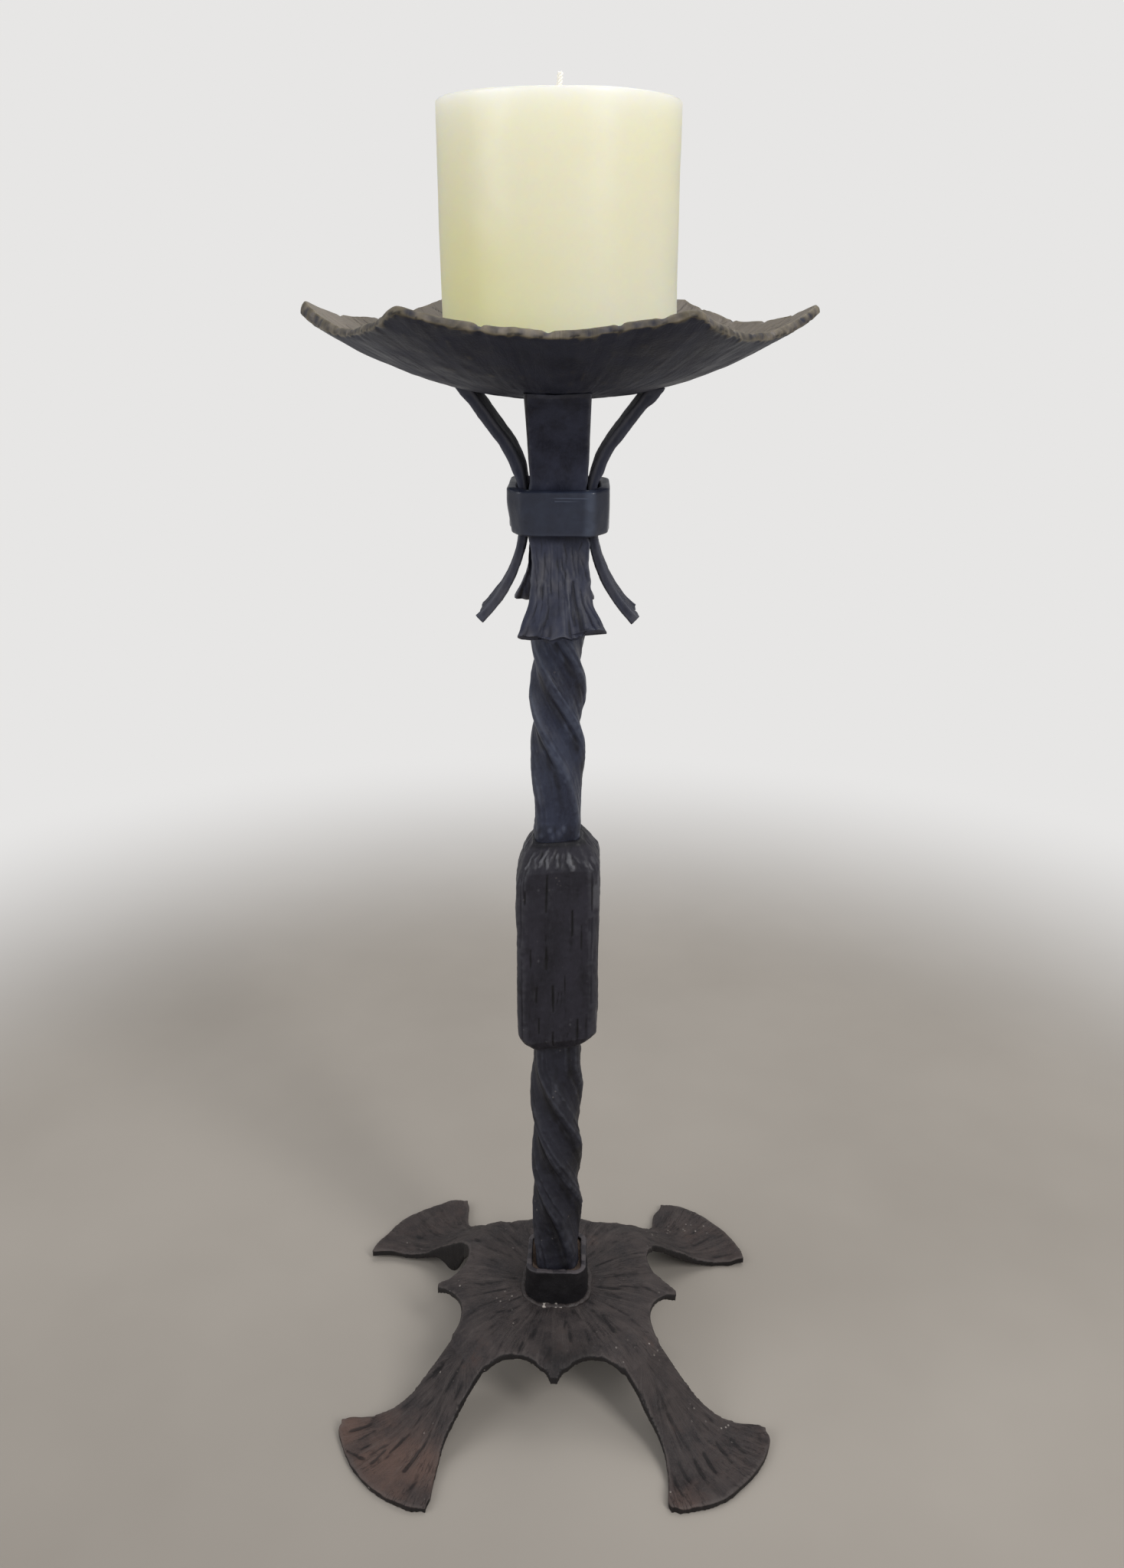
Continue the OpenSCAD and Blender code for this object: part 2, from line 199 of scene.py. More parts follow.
def ring_faces(rows, cols, hoop, start=0):
    """Quads between neighbouring rings, and a fan at both ends unless the row is a hoop."""
    i = np.arange(rows if hoop else rows - 1)[:, None]
    j = np.arange(cols)[None, :]
    nxt, beside = (i + 1) % rows, (j + 1) % cols
    quads = np.stack([i * cols + j, i * cols + beside, nxt * cols + beside, nxt * cols + j], -1)
    faces = (quads.reshape(-1, 4) + start).tolist()
    if not hoop:
        first, last = start + rows * cols, start + rows * cols + 1
        top = start + (rows - 1) * cols
        faces += [[first, start + (k + 1) % cols, start + k] for k in range(cols)]
        faces += [[last, top + k, top + (k + 1) % cols] for k in range(cols)]
    return faces


def ring_piece(name, rings, hoop=False):
    """One closed piece from an array of rings: rows, then points in a ring, then x, y, z in mm."""
    rows, cols = rings.shape[:2]
    points = rings.reshape(-1, 3)
    if not hoop:
        points = np.vstack([points, rings[0].mean(0), rings[-1].mean(0)])
    return mesh_piece(name, points, ring_faces(rows, cols, hoop))


def round_rings(cols, steps):
    """Plain round rings from pairs of radius and height."""
    return np.array([around(r, bearings(cols), z) for r, z in steps])


def shrunk(ring, *shares):
    """The same ring drawn in to shares of its size, at the same height."""
    return np.array([ring * (share, share, 1) for share in shares])


print("a hoop of 4 rings of 6 has", len(ring_faces(4, 6, True)), "faces")

# %% [markdown]
# ## Sculpting in code
# Three small tools stand for the brushes of sculpt mode. `grab` pulls a soft ball of points
# along, which bends a corner or shortens a tip. `gouge` presses grooves along short lines, as a
# chisel does. `press` moves points along their own normals by an amount for each point. All
# three work on arrays in millimetres.

# %% Brushes
def read_points(piece):
    flat = np.empty(len(piece.data.vertices) * 3)
    piece.data.vertices.foreach_get("co", flat)
    return flat.reshape(-1, 3) / MM


def write_points(piece, points):
    piece.data.vertices.foreach_set("co", (points * MM).astype(np.float32).ravel())
    piece.data.update()


def read_normals(piece):
    flat = np.empty(len(piece.data.vertices) * 3)
    piece.data.vertex_normals.foreach_get("vector", flat)
    return flat.reshape(-1, 3)


def press(piece, amount):
    """Moves each point along its own normal, and gives the new points."""
    write_points(piece, read_points(piece) + read_normals(piece) * amount[:, None])
    return read_points(piece)


def grab(points, centre, radius, move):
    """Pulls a soft ball of points along; move is in millimetres."""
    away = np.linalg.norm(points - np.array(centre, float), axis=1) / radius
    hold = np.clip(1 - away * away, 0, 1) ** 2
    return points + hold[:, None] * np.array(move, float)


def gouge(flat, strokes):
    """Depth of chisel strokes at flat places. A stroke is x0, y0, x1, y1, half width, depth."""
    depth = np.zeros(len(flat))
    for x0, y0, x1, y1, wide, deep in strokes:
        low, high = np.array([min(x0, x1), min(y0, y1)]), np.array([max(x0, x1), max(y0, y1)])
        near = np.flatnonzero(((flat > low - 2.5 * wide) & (flat < high + 2.5 * wide)).all(1))
        run = np.array([x1 - x0, y1 - y0])
        to = flat[near] - (x0, y0)
        along = np.clip(to @ run / (run @ run), 0, 1)
        off = np.linalg.norm(to - along[:, None] * run, axis=1)
        cut = deep * bell(off, wide) * (0.35 + 0.65 * np.sin(np.pi * (0.12 + 0.76 * along)))
        depth[near] = np.maximum(depth[near], cut)
    return depth


middle_cut = gouge(np.array([[5.0, 0.0]]), [(0, 0, 10, 0, 1, 1)])[0]
print("a stroke of depth 1 cuts", round(float(middle_cut), 2), "mm in its middle")


# %% [markdown]
# ## Ridges and hollows
# Real iron is bright where hands and tools rub it and dark where they can't reach. To know which
# is which, we blur the shape by moving every point towards its neighbours a few times: a point
# that stood on a ridge is now below where it was. That height, in millimetres, is kept on the
# mesh as an attribute called `relief`, and the materials read it.

# %% Relief attribute
def mark(piece, name, values):
    """Keeps one number for each point on the mesh, where a material can read it by name."""
    layer = piece.data.attributes.new(name, "FLOAT", "POINT")
    layer.data.foreach_set("value", np.asarray(values, np.float32))


def mark_relief(piece, reach=2.0):
    """Stores how far each point stands above its smoothed surroundings, in millimetres."""
    mesh = piece.data
    edges = np.empty(len(mesh.edges) * 2, np.int32)
    mesh.edges.foreach_get("vertices", edges)
    a, b = edges[0::2], edges[1::2]
    points = read_points(piece)
    count = len(points)
    links = np.bincount(a, minlength=count) + np.bincount(b, minlength=count)
    step = np.linalg.norm(points[a] - points[b], axis=1).mean()
    smooth = points.copy()
    for _ in range(max(2, min(30, round((reach / step) ** 2 * 2)))):
        pulled = np.stack([np.bincount(a, smooth[b, k], count) + np.bincount(b, smooth[a, k], count)
                           for k in range(3)], 1)
        smooth = 0.4 * smooth + 0.6 * pulled / links[:, None]
    relief = np.einsum("ij,ij->i", points - smooth, read_normals(piece))
    mark(piece, "relief", relief)
    return relief


def dress(piece, material, slot, body, *nodes):
    """Gives a finished piece its material, its body and the CAD nodes that it stands for."""
    relief = mark_relief(piece)
    piece.data.materials.clear()
    piece.data.materials.append(material)
    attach(piece, body)
    if nodes:
        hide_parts(*nodes)
    low, high = read_points(piece).min(0), read_points(piece).max(0)
    print(f"{piece.name}: {len(piece.data.polygons)} faces,"
          f" relief {relief.min():.2f} to {relief.max():.2f} mm,"
          f" box {np.round(low, 1)} to {np.round(high, 1)}")

# %% [markdown]
# ## Wires that can be reckoned with
# A material is a sum drawn with boxes and wires. Writing each box by hand is long, so an output
# is wrapped in a small class here. Adding or multiplying two of these wires adds the matching
# Math node and gives its output back, and the code then reads like the formula it draws.

# %% Wires
class Wire:
    """A node's output, which can be reckoned with like a number."""

    def __init__(self, tree, socket):
        self.tree, self.socket = tree, socket

    def __add__(self, other):
        return math_wire(self.tree, "ADD", self, other)

    def __sub__(self, other):
        return math_wire(self.tree, "SUBTRACT", self, other)

    def __rsub__(self, other):
        return math_wire(self.tree, "SUBTRACT", other, self)

    def __mul__(self, other):
        return math_wire(self.tree, "MULTIPLY", self, other)

    def __truediv__(self, other):
        return math_wire(self.tree, "DIVIDE", self, other)

    def __pow__(self, other):
        return math_wire(self.tree, "POWER", self, other)

    def __abs__(self):
        return math_wire(self.tree, "ABSOLUTE", self)

    def between(self, low, high, to_low=0.0, to_high=1.0):
        """A smooth passage from to_low to to_high while this wire goes from low to high."""
        return node_wire(self.tree, "MapRange", "Result", {
            "Value": self, "From Min": low, "From Max": high, "To Min": to_low, "To Max": to_high},
            interpolation_type="SMOOTHSTEP")


def join(source, target):
    """Links a wire to an input, or writes a plain value into it."""
    if isinstance(source, Wire):
        source.tree.links.new(source.socket, target)
    else:
        target.default_value = source


def node_wire(tree, kind, output, inputs, **settings):
    """A new node with its settings and inputs filled in; gives the wire from one of its outputs."""
    node = tree.nodes.new("ShaderNode" + kind)
    for name, value in settings.items():
        setattr(node, name, value)
    for label, source in inputs.items():
        join(source, node.inputs[label])
    return Wire(tree, node.outputs[output])


def math_wire(tree, operation, *values):
    return node_wire(tree, "Math", 0, dict(enumerate(values)), operation=operation)


print("Wire can add, subtract, multiply, divide, raise to a power and pass smoothly between two levels")

# %% [markdown]
# The nodes that come up again and again get a short function each: noise, scattered dots, the
# place on the object, and an attribute that we painted on the mesh.

# %% Common wires
def noise_wire(place, scale, detail=4.0, roughness=0.55):
    return node_wire(place.tree, "TexNoise", "Fac", {
        "Vector": place, "Scale": scale, "Detail": detail, "Roughness": roughness})


def dots_wire(place, scale):
    """Distance to the nearest of many scattered dots."""
    return node_wire(place.tree, "TexVoronoi", "Distance", {"Vector": place, "Scale": scale})


def object_place(tree):
    return node_wire(tree, "TexCoord", "Object", {})


def attribute_wire(tree, name):
    return node_wire(tree, "Attribute", "Fac", {}, attribute_name=name)


def split_place(tree):
    """The three coordinates of a place on the object, in metres."""
    split = tree.nodes.new("ShaderNodeSeparateXYZ")
    join(object_place(tree), split.inputs[0])
    return [Wire(tree, socket) for socket in split.outputs]


def length_of(x, y):
    return math_wire(x.tree, "SQRT", x**2.0 + y**2.0)

# %% [markdown]
# ## Node groups that all the iron shares
# A node group is a little machine with labelled sockets, built once and used in many materials.
# The first gives the grain that fire and hammer leave in iron: slow clouds of scale, fine grain,
# and a height for the bump that has small pits in it. The grain can be drawn out along the bar.

# %% Forge grain group
def new_group(name, inputs, outputs):
    """A node group with plain number sockets: the group, its inputs as wires, and its outputs."""
    tree = bpy.data.node_groups.new(name, "ShaderNodeTree")
    for label, value in inputs.items():
        socket = tree.interface.new_socket(label, in_out="INPUT", socket_type="NodeSocketFloat")
        socket.default_value = value
    for label in outputs:
        tree.interface.new_socket(label, in_out="OUTPUT", socket_type="NodeSocketFloat")
    sockets = tree.nodes.new("NodeGroupInput").outputs
    take = {label: Wire(tree, sockets[label]) for label in inputs}
    return tree, take, tree.nodes.new("NodeGroupOutput").inputs


grain_group, take, give = new_group(
    "Forge grain", {"Cloud size": 60.0, "Grain size": 900.0, "Upright": 1.0}, ["Cloud", "Grain", "Height"])
stretch = node_wire(grain_group, "CombineXYZ", 0, {0: 1.0, 1: 1.0, 2: take["Upright"]})
place = node_wire(grain_group, "VectorMath", 0, {
    0: object_place(grain_group), 1: stretch}, operation="MULTIPLY")
fine = noise_wire(place, take["Grain size"], 3.0, 0.7)
pits = dots_wire(place, take["Grain size"] * 0.55).between(0.05, 0.45)
join(noise_wire(place, take["Cloud size"], 5.0, 0.6).between(0.32, 0.68), give["Cloud"])
join(fine.between(0.3, 0.7), give["Grain"])
join(fine * 0.7 + pits * 0.3, give["Height"])

# %% [markdown]
# Wear and dirt both follow the shape. This group reads `relief`, shakes it a little with noise so
# that no edge is worn evenly, and gives one mask for ridges and one for hollows.

# %% Ridge wear group
wear_group, take, give = new_group(
    "Ridge wear", {"Ridge low": 0.05, "Ridge high": 0.35, "Hollow depth": 0.25, "Breakup": 0.5},
    ["Worn", "Hollow"])
relief_in = attribute_wire(wear_group, "relief")
broken = noise_wire(object_place(wear_group), 260.0, 3.0)
shaken = relief_in + (broken - 0.5) * (take["Breakup"] * 0.5)
join(shaken.between(take["Ridge low"], take["Ridge high"]), give["Worn"])
join((relief_in * -1.0).between(0.02, take["Hollow depth"]), give["Hollow"])

# %% [markdown]
# Rust comes in blooms with soft edges, and here and there a few pale specks of plaster or paint
# stick to the iron. Both are patches of noise: the amount moves the level that a patch has to
# reach before it shows.

# %% Rust and specks group
rust_group, take, give = new_group(
    "Rust bloom", {"Bloom size": 30.0, "Amount": 0.5, "Specks": 0.5}, ["Rust", "Speck"])
place = object_place(rust_group)
edge = 0.75 - take["Amount"] * 0.4
join(noise_wire(place, take["Bloom size"], 6.0, 0.65).between(edge, edge + 0.16), give["Rust"])
patch = noise_wire(place, 60.0, 2.0).between(0.58, 0.7)
dot = dots_wire(place, 300.0).between(0.22, 0.1)
join(dot * patch * take["Specks"], give["Speck"])

# %% [markdown]
# Some marks have nothing to do with ridges: a face that was ground, or a side that stayed sooty,
# and also painted highlights and painted shade. Such places are painted on each piece as two
# attributes, one for bare metal and painted highlights and one for soot and painted shade. This
# group reads them and tears their edges, so a painted patch looks like metal and not like a stencil.

# %% Second skin group
skin_group, take, give = new_group("Second skin", {"Breakup": 0.4, "Grain size": 180.0}, ["Bare_and_highlight", "Soot_and_shade"])
# The first mask also carries painted highlights, the second painted shade.
for name in ("Bare_and_highlight", "Soot_and_shade"):
    torn = noise_wire(object_place(skin_group), take["Grain size"], 4.0, 0.6)
    torn = (torn - 0.5) * take["Breakup"]
    join((attribute_wire(skin_group, name.lower()) + torn).between(0.1, 0.9), give[name])

# %% [markdown]
# The plate and the pan carry hundreds of fine chisel lines that run outwards. They are too many
# for geometry, so this group draws the finest of them. It lays out a chart whose first two
# coordinates only change round the middle and whose third changes slowly outwards, and noise on
# that chart comes out as rays. On a leg the rays start from the leg's root instead.

# %% Chisel streaks group
streak_group, take, give = new_group(
    "Chisel streaks", {"Fineness": 34.0, "Run": 70.0, "Leg root": 0.047, "Disc radius": 0.07},
    ["Lines", "Bright", "Ripple"])
across_x, across_y, _ = split_place(streak_group)
on_leg = math_wire(streak_group, "GREATER_THAN", length_of(across_x, across_y), take["Disc radius"])
offset = on_leg * take["Leg root"]
flat = [(abs(axis) - offset) * math_wire(streak_group, "SIGN", axis) for axis in (across_x, across_y)]
far = math_wire(streak_group, "MAXIMUM", 0.001, length_of(*flat))
chart = node_wire(streak_group, "CombineXYZ", 0, {
    0: take["Fineness"] * (flat[0] / far), 1: take["Fineness"] * (flat[1] / far), 2: far * take["Run"]})
ripple = noise_wire(chart, 1.0, 3.0, 0.6)
patchy = noise_wire(object_place(streak_group), 55.0, 2.0).between(0.42, 0.6)
join(abs(ripple - 0.44).between(0.035, 0.0) * patchy, give["Lines"])
join(noise_wire(chart, 0.42, 2.0, 0.6).between(0.5, 0.66), give["Bright"])
join(ripple, give["Ripple"])
print("node groups:", [g.name for g in bpy.data.node_groups])

# %% [markdown]
# ## The iron materials
# Blackened, waxed iron hardly reflects as bare metal does: it is a dark skin with a soft sheen,
# so the Principled shader stays non-metallic. One function builds the node tree, and each finish
# gives it other colours: bluish on the shaft, browner and rustier on the base. The colours are
# laid over each other like thin coats, the painted `bare_and_highlight` and `soot_and_shade` masks among them. First
# come a few helpers that every material below uses.

# %% Helpers for materials
def srgb(red, green, blue):
    """A colour as read off a screen, 0 to 255, in the linear light that shaders use."""
    return [((v / 255 + 0.055) / 1.055) ** 2.4 if v > 10 else v / 3294.6 for v in (red, green, blue)] + [1.0]


def place_group(tree, group, **values):
    """Puts a group in a tree with its own values and gives its outputs as wires."""
    node = tree.nodes.new("ShaderNodeGroup")
    node.node_tree = group
    for label, value in values.items():
        node.inputs[label.replace("_", " ")].default_value = value
    return {socket.name: Wire(tree, socket) for socket in node.outputs}


def mix_colour(share, first, second):
    return node_wire(share.tree, "Mix", 2, {0: share, 6: first, 7: second}, data_type="RGBA")


def new_material(name):
    material = bpy.data.materials.new(name)
    material.use_nodes = True
    return material, material.node_tree, material.node_tree.nodes["Principled BSDF"].inputs


def add_bump(tree, skin, height, strength, distance):
    """Bump from a height that runs from 0 to 1, where 1 is the distance in metres."""
    join(node_wire(tree, "Bump", "Normal", {"Strength": strength, "Distance": distance, "Height": height}),
         skin["Normal"])


print("mid grey in linear light:", round(srgb(128, 128, 128)[0], 3))

# %% [markdown]
# Now the iron itself, coat by coat: clouds of two tones, pale grain, rust, bare metal and painted
# highlights, dirt in the hollows, worn ridges, chisel streaks where they are wanted, soot and
# painted shade, and last a few pale specks.
# Worn places are also smoother, so the roughness follows the clouds and the wear.

# %% Iron
SPECK_TONE = srgb(176, 168, 162)


def iron(name, dark, pale, worn, hollow, rust, bare_and_highlight, amounts, shine=(0.42, 0.62), bump=0.3, specular=0.3,
         clouds=55.0, metal=0.0, streaks=0.0, bright=0.0, etched=0.45, upright=1.0, grains=0.4):
    """Blackened iron in six tones. amounts: how much wear, dirt, rust and specks show, 0 to 1.
    streaks is the radius in metres where the rays of the chisel streaks begin, or 0 for none."""
    dark, pale, worn, hollow, rust, bare_and_highlight = (srgb(*tone) for tone in (dark, pale, worn, hollow, rust, bare_and_highlight))
    material, tree, skin = new_material(name)
    grain = place_group(tree, grain_group, Cloud_size=clouds, Grain_size=950.0, Upright=upright)
    wear = place_group(tree, wear_group, Ridge_low=0.04, Ridge_high=0.4, Hollow_depth=0.3, Breakup=0.5)
    rusty = place_group(tree, rust_group, Bloom_size=34.0, Amount=amounts[2], Specks=amounts[3])
    painted = place_group(tree, skin_group, Breakup=0.45, Grain_size=190.0)
    # The bare tone also lays the painted highlights.
    coats = [(grain["Grain"] * grains, pale), (rusty["Rust"] * 0.7, rust), (painted["Bare_and_highlight"] * 0.85, bare_and_highlight),
             (wear["Hollow"] * amounts[1], hollow), (wear["Worn"] * amounts[0], worn)]
    height = grain["Height"]
    if streaks:
        cut = place_group(tree, streak_group, Fineness=34.0, Run=70.0, Leg_root=0.047, Disc_radius=streaks)
        coats += [(cut["Bright"] * bright, worn), (cut["Lines"] * etched, hollow)]
        height = height + (cut["Ripple"] * (4 * etched) - cut["Lines"] * (1.5 * etched))
    # Here the hollow tone lays soot and the painted shade.
    coats += [(painted["Soot_and_shade"] * 0.9, hollow), (rusty["Speck"], SPECK_TONE)]
    colour = mix_colour(grain["Cloud"], dark, pale)
    for share, tone in coats:
        colour = mix_colour(share, colour, tone)
    join(colour, skin["Base Color"])
    join((grain["Cloud"] - wear["Worn"] * 0.6).between(-0.5, 1.0, *shine), skin["Roughness"])
    skin["Metallic"].default_value = metal
    skin["Specular IOR Level"].default_value = specular
    add_bump(tree, skin, height, bump, 0.0006)
    return material

# %% [markdown]
# Each finish is one call. The six tones are read off the real stand, as a screen shows them:
# dark, pale, worn, hollow, rust and bare. The hollow tone also lays the painted shade and the bare
# tone the painted highlights. The weld has a bright last tone, for its spatter, and the dust is
# rough and hardly shines at all.

# %% Finishes
shaft_iron = iron("Blue-black shaft iron", (31, 32, 46), (54, 59, 77), (94, 101, 119), (22, 22, 30),
                  (58, 50, 54), (80, 82, 94), (0.45, 0.7, 0.08, 0.12), upright=0.6)
lower_iron = iron("Black lower shaft iron", (20, 20, 27), (38, 38, 48), (78, 80, 90), (15, 14, 19),
                  (52, 44, 45), (70, 70, 78), (0.4, 0.8, 0.12, 0.25), upright=0.6)
collar_iron = iron("Black collar iron", (25, 23, 28), (37, 34, 39), (78, 74, 78), (13, 12, 14),
                   (50, 42, 41), (84, 78, 80), (0.35, 0.7, 0.1, 0.1))
block_iron = iron("Chiselled block iron", (26, 25, 32), (43, 41, 50), (82, 82, 89), (13, 12, 16),
                  (50, 43, 45), (96, 96, 101), (0.3, 0.85, 0.12, 0.08), upright=0.35)
strip_iron = iron("Grey strip iron", (31, 33, 47), (52, 55, 72), (92, 94, 104), (24, 23, 30),
                  (62, 54, 54), (80, 79, 85), (0.35, 0.7, 0.12, 0.06), clouds=110.0, upright=0.3)
pan_iron = iron("Dark pan iron", (23, 25, 38), (43, 46, 62), (126, 115, 88), (22, 21, 26),
                (54, 50, 55), (138, 130, 121), (0.5, 0.6, 0.1, 0.0), shine=(0.45, 0.65), streaks=0.2,
                etched=0.2, grains=0.6)
base_iron = iron("Brown base iron", (39, 35, 37), (68, 61, 60), (98, 90, 87), (20, 18, 20),
                 (84, 62, 55), (100, 79, 71), (0.22, 0.75, 0.35, 0.6), shine=(0.5, 0.72), clouds=70.0,
                 streaks=0.07, bright=0.15, etched=0.6, grains=0.5, bump=0.45)
band_iron = iron("Smooth band iron", (25, 29, 46), (40, 46, 63), (80, 86, 101), (22, 24, 36),
                 (42, 40, 50), (76, 84, 102), (0.1, 0.4, 0.06, 0.0), shine=(0.3, 0.45), bump=0.12,
                 specular=0.45, clouds=90.0, grains=0.3)
weld_iron = iron("Bright weld spatter", (40, 35, 36), (58, 52, 52), (84, 78, 76), (20, 18, 20),
                 (76, 58, 52), (206, 198, 190), (0.2, 0.8, 0.3, 0.1))
dust_brown = iron("Settled brown dust", (66, 55, 49), (98, 84, 75), (108, 94, 85), (44, 36, 33),
                  (84, 62, 52), (112, 98, 88), (0.3, 0.6, 0.4, 0.1), shine=(0.85, 0.95), specular=0.1,
                  clouds=140.0)
fixing_steel = iron("Dull fixing steel", (96, 96, 100), (120, 120, 124), (150, 150, 152),
                    (60, 58, 58), (98, 80, 70), (120, 120, 120), (0.4, 0.5, 0.3, 0.0), metal=0.8)
print("finishes:", [m.name for m in bpy.data.materials if "iron" in m.name])

# %% [markdown]
# ## The arched base plate
# The plate is sheet about 4 mm thick, chiselled from the middle outwards and drawn down into four
# legs with feet like fans. Its outline doubles back between a foot and the disc, so rings don't
# suit it. Instead the CAD solid is remeshed in small voxels, which gives even quads everywhere
# and softens the sawn edges, and then it is sculpted in the next two steps.

# %% Remesh the plate
def remeshed(node, name, voxel):
    """A new piece with the CAD node's shape in even quads about one voxel wide."""
    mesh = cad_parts[node].data.copy()
    work = bmesh.new()
    work.from_mesh(mesh)
    bmesh.ops.remove_doubles(work, verts=work.verts, dist=1e-6)
    work.to_mesh(mesh)
    work.free()
    helper = add_object(name + "_helper", mesh)
    remesh = helper.modifiers.new("even", "REMESH")
    remesh.mode, remesh.voxel_size, remesh.adaptivity = "VOXEL", voxel * MM, 0
    relax = helper.modifiers.new("relax", "SMOOTH")
    relax.factor, relax.iterations = 0.5, 3
    bpy.context.view_layer.update()
    even = bpy.data.meshes.new_from_object(helper.evaluated_get(bpy.context.evaluated_depsgraph_get()))
    bpy.data.objects.remove(helper)
    even.name = name
    even.shade_smooth()
    return add_object(name, even)


plate = remeshed("base_plate", "forged_plate", 0.95)
print("plate faces:", len(plate.data.polygons))

# %% [markdown]
# No two feet of a forged plate are alike. A few soft grabs pull the corners about, each found by
# comparing with the real stand, and slow noise makes the whole outline sway. Along one side of
# the back left leg the edge was beaten down into a flange, so there the underside is pulled
# down by up to 16 mm.

# %% Bend the plate's corners
GRABS = [  # centre, radius, move, in millimetres
    ((0, -68, 36), 13, (0, 4.5, 0)),            # front spur, cut shorter
    ((-68, -3, 36), 12, (-1.0, 2.5, 0)),        # left spur, drawn to a point
    ((69, 0, 36), 12, (0.8, 0, -1.0)),          # right spur, bent down
    ((61, -117, 2), 30, (-2, 3, 0)),            # front right foot, near corner
    ((117, -61, 2), 12, (-2.0, -2.6, 2.0)),     # its right corner, round and lifted
    ((-61, -117, 2), 11, (-2.6, 2.2, 0)),       # front left foot, near corner rounded
    ((-117, -61, 2), 11, (1.6, -2.8, 1.8)),     # its outer corner, thick and turned up
    ((-117, 61, 2), 24, (0, 1.5, 2.4)),         # back left foot, near edge lifted
    ((-100, 60, 3), 20, (0, 1.0, 2.0)),
    ((-61, 117, 2), 9, (-1.4, -2.0, 0)),        # its inner corner
    ((117, 61, 2), 12, (-1.6, 2.0, 1.8)),       # back right foot, outer corner
    ((61, 117, 2), 16, (5.5, -3.0, 0)),         # its inner corner, rounded
    ((59.5, -114.5, 2), 6, (1.6, 2.2, 0)),      # the front corners again, with a smaller brush
    ((115, -63.5, 4), 6, (-2.2, -1.2, 0)),
    ((-115.4, -63.8, 4), 6, (1.8, -0.8, 0)),
]
FLANGE_X = (-94, -88, -82, -76, -70, -64, -58, -54)         # the beaten edge, seen from above
FLANGE_Y = (59.5, 58.3, 56, 52.7, 48.2, 43.4, 36.6, 30)
FLANGE_DROP = 16.0

points = read_points(plate)
for centre, radius, move in GRABS:
    points = grab(points, centre, radius, move)
sway = np.stack([rough(points, 26, seed, 2) for seed in (11, 12)], 1)
points[:, :2] += 0.7 * sway * ease(60, 90, from_axis(points))[:, None]
facing_down = ease(0.3, -0.4, read_normals(plate)[:, 2])
beside = np.abs(points[:, 1] - np.interp(points[:, 0], FLANGE_X, FLANGE_Y))
hang = FLANGE_DROP * facing_down * (ease(9, 3, beside) * bell(points[:, 0] + 63.5, 8.5))
points[:, 2] = np.maximum(points[:, 2] - hang, 0.0)
write_points(plate, points)
print("the flange drops", round(float(hang.max()), 1), "mm")

# %% [markdown]
# Now the chisel. Most of its strokes fall by chance but all run outwards: over the disc they
# start at the collar, and on each leg they fan out over the foot. A few long ones are listed.
# Under them lie broad folds that widen outwards, which is what a peening hammer leaves,
# and lumps of two sizes. Only the upper side gets strokes; the sides and the back get dents.

# %% Chisel the plate
LEGS = [np.array([np.cos(a), np.sin(a)]) for a in np.radians((45, 135, 225, 315))]
DISC_STROKES, LEG_STROKES, LEG_ROOT, FAN_HUB = 110, 44, 66, 52
LONG_STROKES = [
    (-128, -72, -97, -88, 1.3, 0.9),            # one long crease across the front left foot
    (79, -81, 84, -92, 1.3, 1.1), (86, -74, 93, -85, 1.3, 1.1), (94, -71, 101, -80, 1.2, 1.0),
    (65.5, -87, 70, -97, 1.3, 0.9), (73.5, -84.5, 78, -95, 1.2, 1.0), (62, -96, 66, -105, 1.0, 0.7),
    (-70, -84, -76, -94, 1.2, 0.8), (-79, -76, -86, -84, 1.1, 0.7), (-98, -66, -108, -70, 1.0, 0.6),
    (-88, -82, -94, -90, 1.4, 0.8), (26, -14, 40, -24, 0.9, 0.7), (24, -20, 32, -36, 0.9, 0.6)]


def fan_folds(flat, hub, fineness, seed):
    """Folds that run outwards from a hub and widen as they go, as a peening hammer leaves them."""
    to = flat - hub
    far = np.linalg.norm(to, axis=1)
    folds = rough(np.c_[to / np.maximum(far, 1)[:, None] * fineness, far * 0.16], 3.2, seed, 2)
    return 0.7 * folds - 0.5 * np.abs(folds) + 0.12


def ray(start, end, turn, bend, wide, deep):
    """A stroke that runs outwards from the axis and may bend a little on its way."""
    return (start * np.cos(turn), start * np.sin(turn), end * np.cos(bend), end * np.sin(bend), wide, deep)


chance = np.random.default_rng(41)
strokes = []
for _ in range(DISC_STROKES):
    turn, start = chance.uniform(0, 2 * np.pi), 22 + 36 * chance.random() ** 1.3
    end = start + chance.uniform(5, 18)
    bend = turn + chance.normal(0, 0.06)
    strokes.append(ray(start, end, turn, bend, chance.uniform(0.6, 1.2), 0.12 + 0.4 * chance.random() ** 2))
for out in LEGS:
    over = np.array([-out[1], out[0]])
    for k in range(LEG_STROKES):
        spread, near = chance.uniform(-0.62, 0.62), chance.uniform(2, 60)
        root = LEG_ROOT * out + over * chance.normal(0, 5)
        way = out * np.cos(spread) + over * np.sin(spread)
        a = root + way * near
        b = a + (way + over * chance.normal(0, 0.1)) * chance.uniform(5, 15)
        heavy = k % 3 == 0
        wide = chance.uniform(0.9, 1.6) if heavy else chance.uniform(0.5, 0.9)
        deep = 0.6 * chance.uniform(0.4, 1.0) if heavy else 0.12 + 0.3 * chance.random() ** 2
        strokes.append((*a, *b, wide, deep))
points, upper = read_points(plate), ease(0.15, 0.6, read_normals(plate)[:, 2])
flat, from_middle = points[:, :2], from_axis(points)
depth = gouge(flat, strokes + LONG_STROKES)
folds = fan_folds(flat, (0.0, 0.0), 32, 33) * ease(20, 25, from_middle) * ease(76, 62, from_middle)
